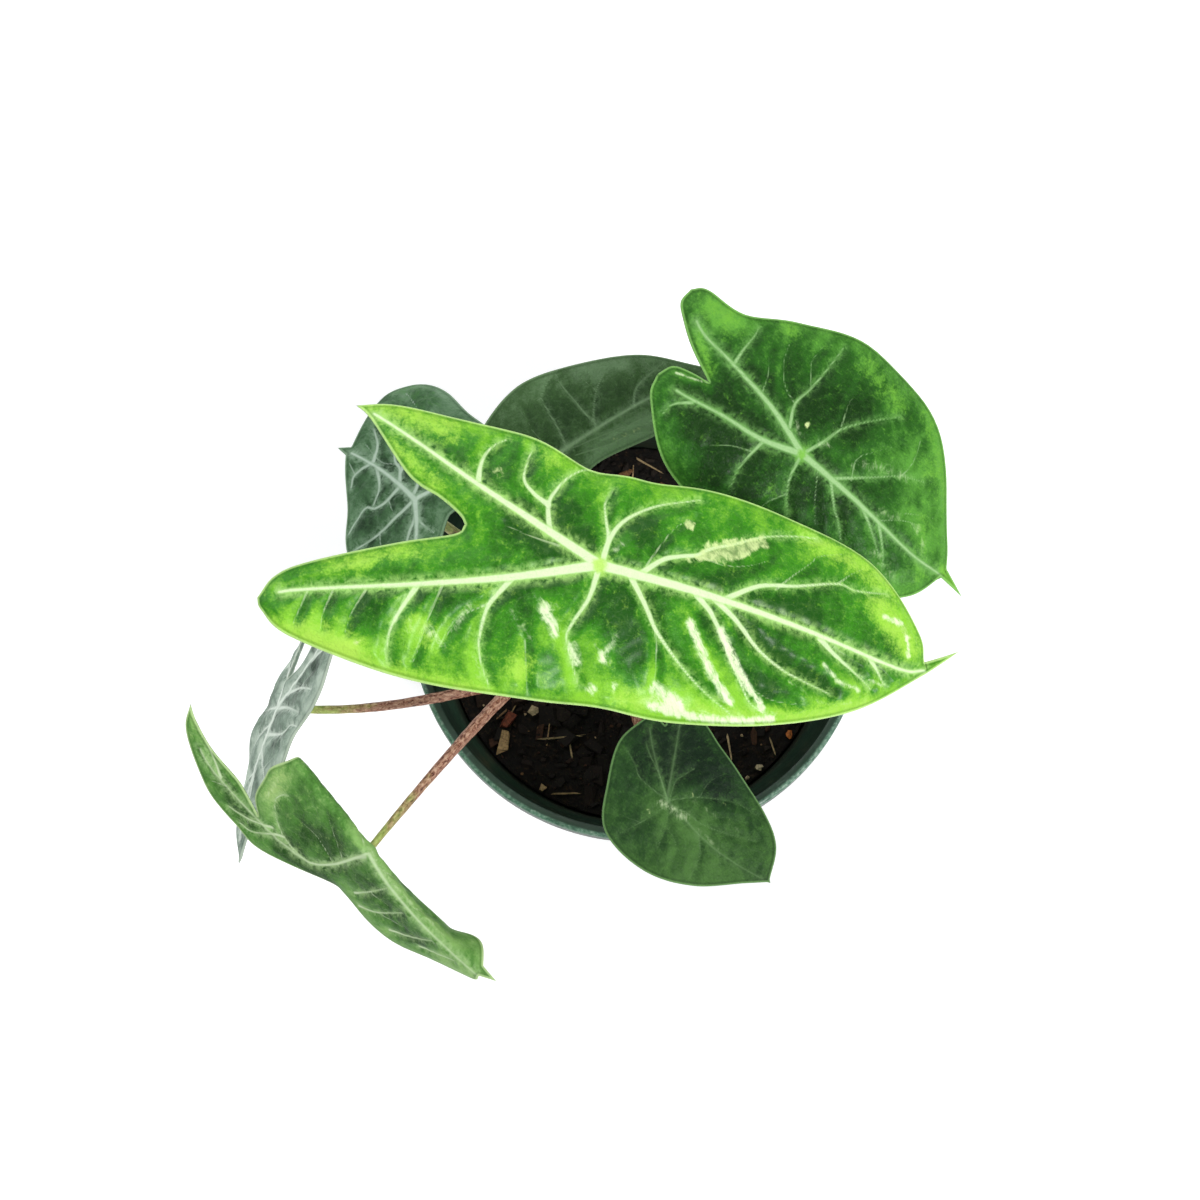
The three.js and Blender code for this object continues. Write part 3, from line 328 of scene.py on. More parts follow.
def lengths(points):
    """The length run at each point of a line"""
    return np.r_[0, np.cumsum(np.linalg.norm(np.diff(points, axis=0), axis=1))]


def drawn(points, fine=24):
    """A smooth line through the points: many close points, and the length run at each"""
    p = np.array(points, float).reshape(-1, 2)
    if len(p) == 1:
        p = np.vstack([p, p + 0.01])
    p = np.vstack([2 * p[0] - p[1], p, 2 * p[-1] - p[-2]])
    t = (np.arange(fine) / fine)[:, None]
    out = [0.5 * (2 * b + (c - a) * t + (2 * a - 5 * b + 4 * c - d) * t ** 2 + (3 * b - a - 3 * c + d) * t ** 3)
           for a, b, c, d in zip(p, p[1:], p[2:], p[3:])]
    out = np.vstack(out + [p[-2:-1]])
    return out, lengths(out)


def along(line, f):
    """Points of a drawn line at fractions of its length"""
    points, run = line
    return np.stack([np.interp(f * run[-1], run, points[:, i]) for i in (0, 1)], axis=-1)


def apart(p, line, start=0.0, end=0.0):
    """How far points lie from a drawn line whose half width goes from start to end"""
    points, run = line
    best = np.full(len(p), np.inf)
    for i in range(len(points) - 1):
        a, ab = points[i], points[i + 1] - points[i]
        t = np.clip((p - a) @ ab / max(ab @ ab, 1e-9), 0, 1)
        d = np.hypot(p[:, 0] - a[0] - t * ab[0], p[:, 1] - a[1] - t * ab[1])
        if start or end:
            s = (run[i] + t * (run[i + 1] - run[i])) / run[-1]
            d = d - (end + (start - end) * (1 - s) ** 1.6)
        np.minimum(best, d, out=best)
    return best


def nearest(p, lines, start=0.0, end=0.0):
    return np.min([apart(p, line, start, end) for line in lines], axis=0)


def bell(d, width=1.0):
    """1 on a line, falling to nothing beside it"""
    return np.exp(-(np.maximum(d, 0) / width) ** 2)


# ---------------------------------------------------------------- blades

def blade_lines(leaf):
    """The blade's drawn lines, the same as in the part's source"""
    left, notch, right = [np.reshape(leaf[key], (-1, 2)) for key in ("left", "notch", "right")]
    tx, ty = leaf["tail"]
    far = math.hypot(tx, ty)
    half = min(1.7, 0.3 + 0.35 * far)

    def beside(u, side):
        return left[0] + (u * tx - side * ty / far, u * ty + side * tx / far)

    tip, neck, sinus = left[0] + (tx, ty), beside(NECK, 0), leaf["sinus"]
    back = [drawn(notch[sinus::-1]), drawn(notch[sinus:])]
    halves = ((1, left[1:]), (-1, right[-2::-1]))
    return dict(
        drip=[drawn([tip, beside(0.5, 0.45 * half * s), beside(NECK, half * s)]) for s, _ in halves],
        outer=[drawn(np.vstack([beside(NECK, half * s), edge])) for s, edge in halves],
        point=drawn([tip, neck]), front=drawn([*neck, *leaf["middle"], 0, 0]), gap=drawn([0, 0, *notch[sinus]]),
        back=back, rib=[drawn([0, 0, *leaf["basal"][k], *back[k][0][-1]]) for k in (0, 1)])


def half_rows(leaf, lines, k):
    """Rows from tip to lobe tip: each row's inner, middle and outer point, and which inner points are an edge"""
    spine = lines["front"], lines["gap"], lines["back"][k]
    runs = [run[-1] for _, run in spine]
    n = [max(4, round(run / (ROW_STEP * FINE))) for run in runs]
    drip = max(3, round(lines["point"][1][-1] / (ROW_STEP * FINE)))
    fd = np.arange(drip) / drip
    f = np.arange(n[0]) / n[0], np.arange(n[1]) / n[1], np.arange(n[2] + 1) / n[2]
    s = np.r_[runs[0] * f[0], runs[0] + runs[1] * f[1], runs[0] + runs[1] + runs[2] * f[2]] / sum(runs)
    inner = np.vstack([along(lines["point"], fd)] + [along(*pair) for pair in zip(spine, f)])
    outer = np.vstack([along(lines["drip"][k], fd), along(lines["outer"][k], s)])
    middle = (inner + outer) / 2
    # the rows behind the stalk go by the part's own row numbers and not by length
    behind, lobe = leaf["rows"]
    middle[drip + n[0]:] = along(lines["rib"][k], np.r_[behind * f[1], behind + lobe * f[2]] / (behind + lobe))
    edge = np.zeros(len(inner), bool)
    edge[0] = edge[drip + n[0] + n[1]:] = True
    return inner, middle, outer, edge


def spread(cells, wide):
    """Distances across rows of the given widths, closer at both ends"""
    wide = wide[:, None]
    e = np.minimum(1, wide / 4)
    near = e * (0, 0.06, 0.2)
    return np.hstack([near, 0.45 * e + np.linspace(0, 1, cells - 5) * (wide - 0.9 * e), (wide - near)[:, ::-1]])


def half_grid(leaf, lines, k):
    """One half of the flat blade as a grid, top then underside: places, which are under and which on an edge"""
    inner, middle, outer, on_edge = half_rows(leaf, lines, k)
    top, low = round(leaf["cells"] / FINE), round(UNDER_CELLS / FINE)
    first = np.linalg.norm(middle - inner, axis=1)
    wide = first + np.linalg.norm(outer - middle, axis=1)
    s = np.hstack([spread(top, wide), spread(low, wide)[:, -2::-1]])
    f = np.clip(s / np.maximum(first, 1e-6)[:, None], 0, 1)[..., None]
    g = np.clip((s - first[:, None]) / np.maximum(wide - first, 1e-6)[:, None], 0, 1)[..., None]
    flat = inner[:, None] * (1 - f) + middle[:, None] * f + (outer - middle)[:, None] * g
    under, edge = np.zeros(s.shape, bool), np.zeros(s.shape, bool)
    under[:, top + 1:] = True
    edge[:, top] = edge[0] = edge[-1] = True
    edge[on_edge, 0] = edge[on_edge, -1] = True
    return flat, under, edge.ravel()


def bend(leaf, x, y, lift):
    """Where points of the flat blade lie once it is folded, cupped, arched and waved"""
    sag, span = leaf.get("sag", (0, 50))
    q = np.clip(x / span, 0, 1.3)
    ridge = -sag * 4 * q * (1 - q)
    v, left, fore = np.abs(y - ridge), y >= ridge, x >= 0
    front = 1 / (1 + np.exp(-x / 10))

    def quarters(a, b, c, d):
        """A value that goes over from quarter to quarter: front left, front right, back left and back right"""
        return np.where(left, a * front + c * (1 - front), b * front + d * (1 - front))

    fold, cup = quarters(*np.radians(leaf["fold"])), quarters(*leaf["cup"])
    if "open" in leaf:
        share, begin, end = leaf["open"]
        o = np.clip((x - begin) / (end - begin), 0, 1)
        fold = np.where(left, fold * (1 - share * o * o * (3 - 2 * o)), fold)
    across, up, steps = np.zeros_like(x), np.zeros_like(x), 12
    for i in range(steps):
        t = (i + 0.5) / steps * v
        g = fold * (1 - np.exp(-t / leaf.get("soft", 5))) + cup * t
        across += np.cos(g) * v / steps
        up -= np.sin(g) * v / steps
    across = np.where(left, across, -across) + ridge
    up = up + lift
    turn = np.radians(np.where(fore, *leaf.get("twist", (0, 0))) * x)
    yy = across * np.cos(turn) - up * np.sin(turn)
    zz = across * np.sin(turn) + up * np.cos(turn)
    k = np.where(fore, *leaf["arch"])
    t, sign = k * np.abs(x), np.where(fore, 1, -1)
    flat = np.stack([(np.sin(t) / k + zz * np.sin(t)) * sign, yy, (np.cos(t) - 1) / k + zz * np.cos(t)], axis=-1)
    heading, pitch, roll = [math.radians(f) for f in leaf["turn"]]
    m = Matrix.Rotation(heading, 3, "Z") @ Matrix.Rotation(pitch, 3, "Y") @ Matrix.Rotation(roll, 3, "X")
    return flat @ np.array(m).T + np.array(leaf["at"], float)


def painted_slope_shading(height, x, y, shape, heading):
    """How steeply a relief falls towards the brighter side, over a grid of flat places, for painted light and
    shade on the blade
    """
    least, steepest, bright_side = 1e-3, 0.4, heading + 0.25
    (hr, hc), (xr, xc), (yr, yc) = [np.gradient(g.reshape(shape)) for g in (height, x, y)]
    area = xc * yr - yc * xr
    area = np.where(np.abs(area) < least, np.copysign(least, area), area)
    a, b = math.cos(bright_side), -math.sin(bright_side)
    fall = (a * (hr * yc - hc * yr) + b * (hc * xr - hr * xc)) / area
    return np.clip(fall, -steepest, steepest).ravel()


def marked(leaf, p):
    """How strongly each kind of mark shows at the points. A shine is a painted highlight, with a soft painted
    light round it
    """
    found = {kind: np.zeros(len(p)) for kind in KINDS}
    for kind in KINDS:
        for width, strength, *line in leaf.get(kind, ()):
            d = apart(p, drawn(line, 5)) / width
            found[kind] += strength * bell(d)
            if kind == "shine":
                found["light"] += 0.4 * strength * bell(d, 2.4)
    return found


def blade(name, leaf, finish):
    """The fine blade: two half sheets, welded along the midrib and closed along the edge"""
    lines = blade_lines(leaf)
    rims = [[np.concatenate([part[::3], part[-1:]]) for part in line]
            for line in lines["drip"] + lines["outer"] + lines["back"]]
    midrib = np.vstack([(0, 0), np.reshape(leaf["middle"], (-1, 2))[::-1]]) + (0, leaf.get("aside", 0))
    main = [drawn(midrib, 6)] + [[part[:-20:4] for part in line] for line in lines["rib"]]
    shown = [main[i] for i in leaf.get("painted", (0, 1, 2))]
    sides, thins = [[drawn(vein, 5) for vein in leaf[key]] for key in ("side", "thin")]
    thin_start, thin_end = 0.25 * leaf["vein"][0] + 0.08, 0.05
    swing, count, phase = leaf["wave"]
    sheets = []
    for k in (0, 1):
        flat, under, on_edge = half_grid(leaf, lines, k)
        p, low = flat.reshape(-1, 2), under.ravel()
        x, y = p[:, 0], p[:, 1]
        near = np.where(on_edge, 0, nearest(p, rims))
        out = np.hypot(x, y)
        lift = swing * (out / (out + near + 1e-9)) ** 3 * np.sin(count * np.arctan2(y, x) + phase)
        here = bend(leaf, x, y, lift)
        normal = np.cross(bend(leaf, x + 0.05, y, lift) - here, bend(leaf, x, y + 0.05, lift) - here)
        normal /= np.linalg.norm(normal, axis=1)[:, None]
        # distance from the painted width of the main ribs and of the two kinds of veins
        d_main, d_side = nearest(p, shown, *leaf["rib"]), nearest(p, sides, *leaf["vein"])
        d_thin = nearest(p, thins, thin_start, thin_end)
        marks = marked(leaf, p)
        # relief: puffed between the veins, a low ridge on the ribs, a groove on the veins, and a faint quilting
        puff = leaf["puff"] * (1 + leaf.get("swell", 0) / (1 + np.exp(y / 4)))
        quilt = np.sin(0.9 * x + 1.3 * np.sin(0.5 * y)) * np.sin(0.8 * y + np.sin(0.7 * x))
        relief = puff * (1 - bell(np.minimum(np.minimum(d_main, d_side), d_thin + 0.4), 2.0))
        relief += 0.25 * bell(d_main, 0.6) - 0.18 * bell(d_side, 0.5) + 0.12 * quilt + marks["ridge"]
        relief = relief * np.clip(near / 3.5, 0, 1) - 0.4 * leaf["puff"]
        # underside: ribs that stand out and the boss on the stalk
        keel = np.max([share * (0.25 + np.clip(1 - out / (line[1][-1] + 8), 0.12, 1)) * bell(apart(p, line), 1.1)
                       for line, share in zip(main, leaf.get("ribs", (1, 1, 1)))], axis=0)
        keel += 0.22 * bell(d_side, 0.5)
        half = HALF_THICK * np.sqrt(1 - (1 - np.clip(near / ROUNDED, 0, 1)) ** 2)
        depth = np.where(low, -half - keel * np.clip(near / 2, 0, 1), half)
        boss = bell(out, 2.3) * low * (leaf.get("boss", 3) - BOSS_LOW)
        places = here + normal * (relief - MIDDLE_LOW + depth)[:, None]
        places += np.outer(boss, Vector(leaf["stalk"]).normalized())
        tone = 0.42 + 0.3 * np.clip(1 - near / 13, 0, 1) ** 1.5 - 0.18 * np.exp(-np.maximum(d_main, 0) / 5)
        # painted light and shade: the relief's slopes lighter where they face the brighter side, darker where
        # they face away
        tone += 0.55 * painted_slope_shading(relief, x, y, under.shape, math.radians(leaf["turn"][0]))
        # light and dark marks: paler and darker tissue, and in places painted sheen and painted shade
        tone += marks["light"] + 0.3 * marks["yellow"] - 0.5 * marks["dark"]
        notes = dict(flat=(x, y, 40 * low), veins=(d_main, d_side, d_thin),
                     look=(tone, marks["yellow"], marks["cream"]), skin=(near, low, marks["shine"]))
        sheets.append(sheet(name + "_half", places.reshape(under.shape + (3,)),
                            {key: np.stack(values, axis=-1) for key, values in notes.items()}))
    place_piece(name + "_leaf", welded(name + "_fine", sheets), finish, name, name)


# ---------------------------------------------------------------- stalks

def stalk_path(leaf, steps):
    """Middle line of a leaf stalk: up out of the mix, then in one curve to the blade"""
    way = np.array(Vector(leaf["stalk"]).normalized())
    centre = bend(leaf, *np.zeros((3, 1)))[0]
    end = centre + way * (leaf.get("boss", 3) + CLEAR - BOSS_LOW)
    (fx, fy), (up, down) = leaf["foot"], leaf["reach"]
    p0 = np.array([fx, fy, SOIL_TOP + 2.0])
    p1, p2 = p0 + [0, 0, up], end + way * down
    t = np.linspace(0, 1, steps + 1)[:, None]
    curve = (1 - t) ** 3 * p0 + 3 * (1 - t) ** 2 * t * p1 + 3 * (1 - t) * t * t * p2 + t ** 3 * end
    return np.vstack([[[fx, fy, SOIL_TOP - STALK_SUNK + d] for d in (0.1, 2, 6, 10)], curve])


def stalk(name, leaf, finish):
    """A round stalk with a shallow groove low down where its sheath was, closed at both ends"""
    path = stalk_path(leaf, round(120 / FINE))
    run = lengths(path)
    dirs = np.gradient(path, run, axis=0)
    dirs /= np.linalg.norm(dirs, axis=1)[:, None]
    turn = np.linspace(0, FULL_TURN, 24 + 1)
    across = np.array([1.0, 0, 0])
    rings, notes = [], []
    f = np.clip((run - 14) / (run[-1] - 14), 0, 1)
    thick = leaf["thick"][0] + (leaf["thick"][1] - leaf["thick"][0]) * f
    for p, d, s, share, wide in zip(path, dirs, run, f, thick):
        across = across - across @ d * d
        across /= np.linalg.norm(across)
        groove = 0.16 * math.exp(-(s / 55) ** 2) * np.exp(-((turn - math.pi) / 0.5) ** 2)
        lumps = 0.02 * np.sin(s * 0.35 + 2 * turn) + 0.015 * np.sin(s * 0.9 + turn)
        ending = math.sqrt(min(1, min(run[-1] - s, s) / (0.6 * wide)))
        radius = wide * (0.985 - groove + lumps) * ending
        across_part = np.outer(radius * np.cos(turn), across)
        rings.append(p + across_part + np.outer(radius * np.sin(turn), np.cross(d, across)))
        notes.append(np.stack([turn * wide, np.full_like(turn, s), np.full_like(turn, share)], axis=-1))
    rings = np.array(rings)
    rings[:, -1] = rings[:, 0]
    mesh = welded(name + "_round", [sheet(name, rings, {"flat": np.array(notes)})])
    place_piece(name + "_petiole", mesh, finish, "stalk", name)


# ---------------------------------------------------------------- pot and mix

def wall_radius(z):
    taper = (TOP_RADIUS - BAND_STEP - FOOT_RADIUS) / POT_HEIGHT
    return FOOT_RADIUS + taper * z + (BAND_STEP if z > POT_HEIGHT - BAND_HEIGHT else 0)


def inside_radius(z):
    return wall_radius(min(z, POT_HEIGHT - BAND_HEIGHT)) - WALL


def pot(finish):
    """The pot's wall section spun round, with its drainage holes cut"""
    wall, inside, foot, lip, top = wall_radius, inside_radius, FOOT_RADIUS, LIP_RADIUS, POT_HEIGHT
    band, under, crest, heel = top - BAND_HEIGHT, top - LIP_HEIGHT, wall(top) - WALL, FLOOR + 1.5
    above = wall(band + 0.01)
    section = [
        (0, 0.6), (foot - 7, 0.6), (foot - 6, 0.1), (foot - 2, 0), (foot - 0.6, 0.5), (foot + 0.1, 1.8),
        (wall(20), 20), (wall(50), 50), (wall(80), 80), (wall(band) - 0.05, band - 0.4),
        (wall(band) + 0.3, band + 0.2), (above - 0.1, band + 0.9), (above, band + 1.6),
        (wall(under), under - 0.4), (wall(under) + 0.3, under), (lip - 0.9, under + 0.05),
        (lip - 0.25, under + 0.35), (lip, under + 1), (lip, top - 1.2), (lip - 0.15, top - 0.5),
        (lip - 0.6, top - 0.08), (lip - 1.2, top), (crest + 0.6, top),
        (crest + 0.15, top - 0.25), (crest, top - 0.9), (wall(110) - WALL, 110), (above - WALL, band + 1.2),
        (inside(band) + 0.1, band + 0.2), (inside(band), band - 0.6), (inside(60), 60), (inside(30), 30),
        (inside(heel), heel), (inside(heel) - 1.5, FLOOR), (0, FLOOR)]
    bm = bmesh.new()
    verts = [bm.verts.new((r * MM, 0, z * MM)) for r, z in section]
    edges = [bm.edges.new(pair) for pair in zip(verts, verts[1:])]
    bmesh.ops.spin(bm, geom=verts + edges, cent=(0, 0, 0), axis=(0, 0, 1), angle=FULL_TURN,
                   steps=round(176 / FINE), use_merge=True)
    bmesh.ops.remove_doubles(bm, verts=bm.verts, dist=1e-6)
    bmesh.ops.recalc_face_normals(bm, faces=bm.faces)
    body = put("pot_wall", mesh_of("pot_wall", bm))
    pegs = bmesh.new()
    for i in range(DRAINS):
        a = FULL_TURN * (i + 0.5) / DRAINS
        at = Matrix.Translation((DRAIN_RING * math.cos(a) * MM, DRAIN_RING * math.sin(a) * MM, 1.2 * MM))
        bmesh.ops.create_cone(pegs, cap_ends=True, segments=32, radius1=DRAIN_RADIUS * MM,
                              radius2=DRAIN_RADIUS * MM, depth=8 * MM, matrix=at)
    peg = put("drain_pegs", mesh_of("drain_pegs", pegs))
    hole = body.modifiers.new("holes", "BOOLEAN")
    hole.object, hole.operation, hole.solver = peg, "DIFFERENCE", "EXACT"
    done = bpy.data.meshes.new_from_object(body.evaluated_get(bpy.context.evaluated_depsgraph_get()))
    for thing in (body, peg):
        bpy.data.objects.remove(thing)
    done.name = "pot_fine"
    place_piece("nursery_pot", done, finish, "pot", "pot")
    done.set_sharp_from_angle(angle=math.radians(38))


def soil_height(x, y):
    """How high the mix lies: crumbs of two sizes, finer grains, and a lower rim"""
    crumbs = (1.3 * np.sin(x * 0.21 + 1.1 * np.sin(y * 0.17)) * np.cos(y * 0.24 + 0.8)
              + 0.8 * np.sin(x * 0.63 + y * 0.41 + 2) * np.sin(y * 0.57 - x * 0.23))
    grains = (0.5 * np.sin(1.7 * x + 2 * np.sin(1.1 * y)) * np.sin(1.4 * y + 1.5 * np.sin(1.3 * x))
              + 0.3 * np.sin(3.1 * x + 1.9 * y) * np.sin(2.7 * y - 2.2 * x + 1))
    r = np.hypot(x, y)
    return SOIL_TOP + crumbs * np.minimum(1, 1.4 - r / 60) - np.where(r > 68, 2, 0) + grains - 0.5


def soil(finish):
    """The mix: one closed body, rough on top, that fills the pot"""
    rings, around = round(110 / FINE), round(260 / FINE)
    beside, bottom = CLEAR + 0.15, FLOOR + CLEAR
    turn = np.linspace(0, FULL_TURN, around + 1)
    r = np.linspace(0, inside_radius(SOIL_TOP - 3) - beside, rings + 1)[:, None] * np.ones(around + 1)
    x, y = r * np.cos(turn), r * np.sin(turn)
    z = soil_height(x, y)
    z[0] = z[0, 0]
    rows = [np.stack([x, y, z], axis=-1)]
    for q, h in [(inside_radius(50) - beside, 50), (inside_radius(FLOOR + 6) - beside, FLOOR + 6),
                 (inside_radius(FLOOR) - 3.5, bottom), (0, bottom)]:
        rows.append(np.stack([q * np.cos(turn), q * np.sin(turn), np.full(around + 1, h)], axis=-1)[None])
    places = np.vstack(rows)
    places[:, -1] = places[:, 0]
    place_piece("potting_mix", welded("mix_body", [sheet("mix", places, {})]), finish, "soil", "soil")


# Colours of bark and of pale wood, and bits that stand out: x, y, length, width, height, heading, colour, kind
BARKS = [(30, 22, 16), (22, 18, 14), (44, 31, 22), (18, 15, 12), (70, 46, 32), (27, 23, 19), (38, 31, 25)]
PALE = [(150, 118, 84), (176, 146, 108), (128, 98, 66), (196, 172, 132)]
SPLINTER, PEBBLE, CHIP = 0, 1, 2
BITS = [
    (-46.9, -40.6, 8, 3.2, 1.4, 84, (182, 150, 106), CHIP), (-45.2, -32.1, 6.5, 3.4, 2, 65, (124, 66, 46), CHIP),
    (-35.8, -28.9, 4.6, 3.6, 1.8, 20, (190, 170, 134), PEBBLE),
    (-26.3, -38.1, 13, 0.9, 0.7, 6, (182, 160, 120), SPLINTER),
    (-23.1, -42.7, 4.6, 0.7, 0.6, 100, (178, 156, 118), SPLINTER),
    (-24.8, -57.8, 7.5, 0.7, 0.5, 2, (160, 136, 98), SPLINTER),
    (-32.9, -55.8, 2.6, 2.2, 1.4, 40, (190, 160, 116), PEBBLE),
    (53, -37.4, 3.6, 1.9, 1.5, 80, (196, 116, 58), PEBBLE),
    (42.7, -48.4, 3, 2.6, 1.5, 20, (200, 184, 150), PEBBLE),
    (38.1, -52.6, 1.6, 1.4, 1.2, 0, (196, 178, 142), PEBBLE),
    (47.2, -41.2, 6.5, 0.6, 0.5, -72, (190, 166, 124), SPLINTER),
    (4.9, 60, 9, 0.8, 0.6, -30, (170, 146, 108), SPLINTER), (-4, 57, 6, 2.6, 1.5, 30, (120, 84, 54), PEBBLE),
    (9, 52, 5, 2.5, 1.5, 80, (104, 72, 48), PEBBLE), (1, 50, 7, 0.7, 0.5, 35, (150, 128, 96), SPLINTER)]


def chips(finish):
    """Bark, splinters and crumbs that lie on the mix, each with its own colour"""
    rng = random.Random(11)
    draw, pick = rng.uniform, rng.choice
    bm = bmesh.new()
    tone = bm.verts.layers.float_vector.new("tone")
    feet = [leaf["foot"] for leaf in LEAVES.values()]

    def add(x, y, size, turn, color, rough, kind, lift=0.0):
        if kind == CHIP:
            made = bmesh.ops.create_cube(bm, size=0.86)["verts"]
        elif kind == PEBBLE:
            made = bmesh.ops.create_icosphere(bm, subdivisions=1, radius=0.5)["verts"]
        else:
            made = bmesh.ops.create_cone(bm, cap_ends=True, segments=5, radius1=0.5, radius2=0.32,
                                         depth=1)["verts"]
            bmesh.ops.rotate(bm, verts=made, cent=(0, 0, 0), matrix=Matrix.Rotation(math.pi / 2, 3, "Y"))
        own = Vector(tint(*color)[:3])
        for v in made:
            v.co += Vector([draw(-rough, rough) * 0.5 for _ in range(3)])
            v[tone] = own
        bmesh.ops.scale(bm, verts=made, vec=[s * MM for s in size])
        bmesh.ops.rotate(bm, verts=made, cent=(0, 0, 0), matrix=Euler(turn).to_matrix())
        z = float(soil_height(x, y)) + lift + 0.25 * size[2]
        bmesh.ops.translate(bm, verts=made, vec=(x * MM, y * MM, z * MM))

    def spot(long):
        """A place for a bit of this length, inside the wall and away from the stalks"""
        while True:
            r, a = (66 - 0.6 * long) * math.sqrt(rng.random()), draw(0, FULL_TURN)
            x, y = r * math.cos(a), r * math.sin(a)
            if all(math.hypot(x - fx, y - fy) > 6.5 for fx, fy in feet):
                return x, y

    for _ in range(round(330 / FINE)):       # chips and lumps of bark
        long, turn = draw(2.5, 8), (draw(-0.5, 0.5), draw(-0.5, 0.5), draw(0, 6.3))
        add(*spot(long), (long, long * draw(0.35, 0.8), draw(1.0, 2.6)), turn,
            pick(BARKS), 0.32, pick((PEBBLE, CHIP)))
    for _ in range(round(900 / FINE)):       # crumbs
        long = draw(0.6, 2.2)
        add(*spot(long), (long, long * draw(0.6, 1), long * draw(0.5, 0.9)), (draw(-3, 3), draw(-3, 3), 0),
            pick(BARKS), 0.3, PEBBLE)
    for _ in range(round(60 / FINE)):        # splinters
        long, color = draw(4, 12), pick(PALE + BARKS[:3])
        add(*spot(long), (long, draw(0.35, 0.9), draw(0.3, 0.7)),
            (draw(-0.15, 0.15), draw(-0.25, 0.25), draw(0, 6.3)), color, 0.25, SPLINTER, 0.7)
    for _ in range(round(70 / FINE)):        # pale crumbs
        long = draw(0.5, 1.3)
        add(*spot(long), (long, long, long * 0.7), (0, 0, draw(0, 6.3)), pick(PALE), 0.3, PEBBLE, 0.5)
    for x, y, *size, head, color, kind in BITS:
        add(x, y, size, (0.05, 0.08, math.radians(head)), color, 0.45, kind, 1.0)
    bmesh.ops.recalc_face_normals(bm, faces=bm.faces)
    place_piece("bark_chips", mesh_of("bark_chips", bm), finish, "soil", smooth=False)


# ---------------------------------------------------------------- finishes

class Finish:
    """A material made node by node"""

    def __init__(self, name, **sockets):
        self.material = bpy.data.materials.new(name)
        self.material.use_nodes = True
        self.nodes, self.links = self.material.node_tree.nodes, self.material.node_tree.links
        self.shader = self.nodes["Principled BSDF"]
        for key, value in sockets.items():
            self.shader.inputs[key.replace("_", " ")].default_value = value

    def feed(self, socket, value):
        if isinstance(value, bpy.types.NodeSocket):
            self.links.new(value, socket)
        else:
            socket.default_value = value

    def add(self, kind, out, inputs, **settings):
        node = self.nodes.new("ShaderNode" + kind)
        for key, value in settings.items():
            setattr(node, key, value)
        for key, value in inputs.items():
            self.feed(node.inputs[key], value)
        return node.outputs[out]

    def note(self, name):
        return self.add("Attribute", "Vector", {}, attribute_name=name)

    def place(self):
        return self.add("TexCoord", "Object", {})

    def parts(self, vector):
        node = self.nodes.new("ShaderNodeSeparateXYZ")
        self.links.new(vector, node.inputs[0])
        return tuple(node.outputs)

    def math(self, operation, a, b, clamp=False):
        return self.add("Math", 0, {0: a, 1: b}, operation=operation, use_clamp=clamp)

    def plus(self, a, b, clamp=False):
        return self.math("ADD", a, b, clamp)

    def times(self, a, b, clamp=False):
        return self.math("MULTIPLY", a, b, clamp)

    def about(self, value, share):
        """How far a value lies from a half, times a share"""
        return self.times(self.math("SUBTRACT", value, 0.5), share)

    def fade(self, value, start, end, low=0.0, high=1.0):
        """low at start, high at end, smooth between"""
        return self.add("MapRange", 0, {0: value, 1: start, 2: end, 3: low, 4: high},
                        interpolation_type="SMOOTHSTEP")

    def mix(self, share, a, b):
        return self.add("Mix", 2, {0: share, 6: a, 7: b}, data_type="RGBA")

    def ramp(self, value, stops):
        node = self.nodes.new("ShaderNodeValToRGB")
        while len(node.color_ramp.elements) < len(stops):
            node.color_ramp.elements.new(0.5)
        for element, (place, color) in zip(node.color_ramp.elements, stops):
            element.position, element.color = place, color
        self.feed(node.inputs[0], value)
        return node.outputs[0]

    def noise(self, where, scale, detail, rough, warp=0.0):
        return self.add("TexNoise", 0, {"Vector": where, "Scale": scale, "Detail": detail, "Roughness": rough,
                                        "Distortion": warp})

    def cells(self, where, scale):
        return self.add("TexVoronoi", 0, {"Vector": where, "Scale": scale}, feature="DISTANCE_TO_EDGE")

    def scaled(self, vector, size):
        return self.add("VectorMath", 0, {0: vector, 1: size}, operation="MULTIPLY")

    def moved(self, vector, by, amount):
        return self.add("VectorMath", 0, {0: vector, 1: self.scaled(by, (amount, amount, 0))}, operation="ADD")

    def done(self, color, rough, height, distance, strength):
        """The material, once its colour, roughness and bump are fed in"""
        bump = self.add("Bump", 0, {"Strength": strength, "Distance": distance, "Height": height})
        for key, value in (("Base Color", color), ("Roughness", rough), ("Normal", bump)):
            self.feed(self.shader.inputs[key], value)
        return self.material


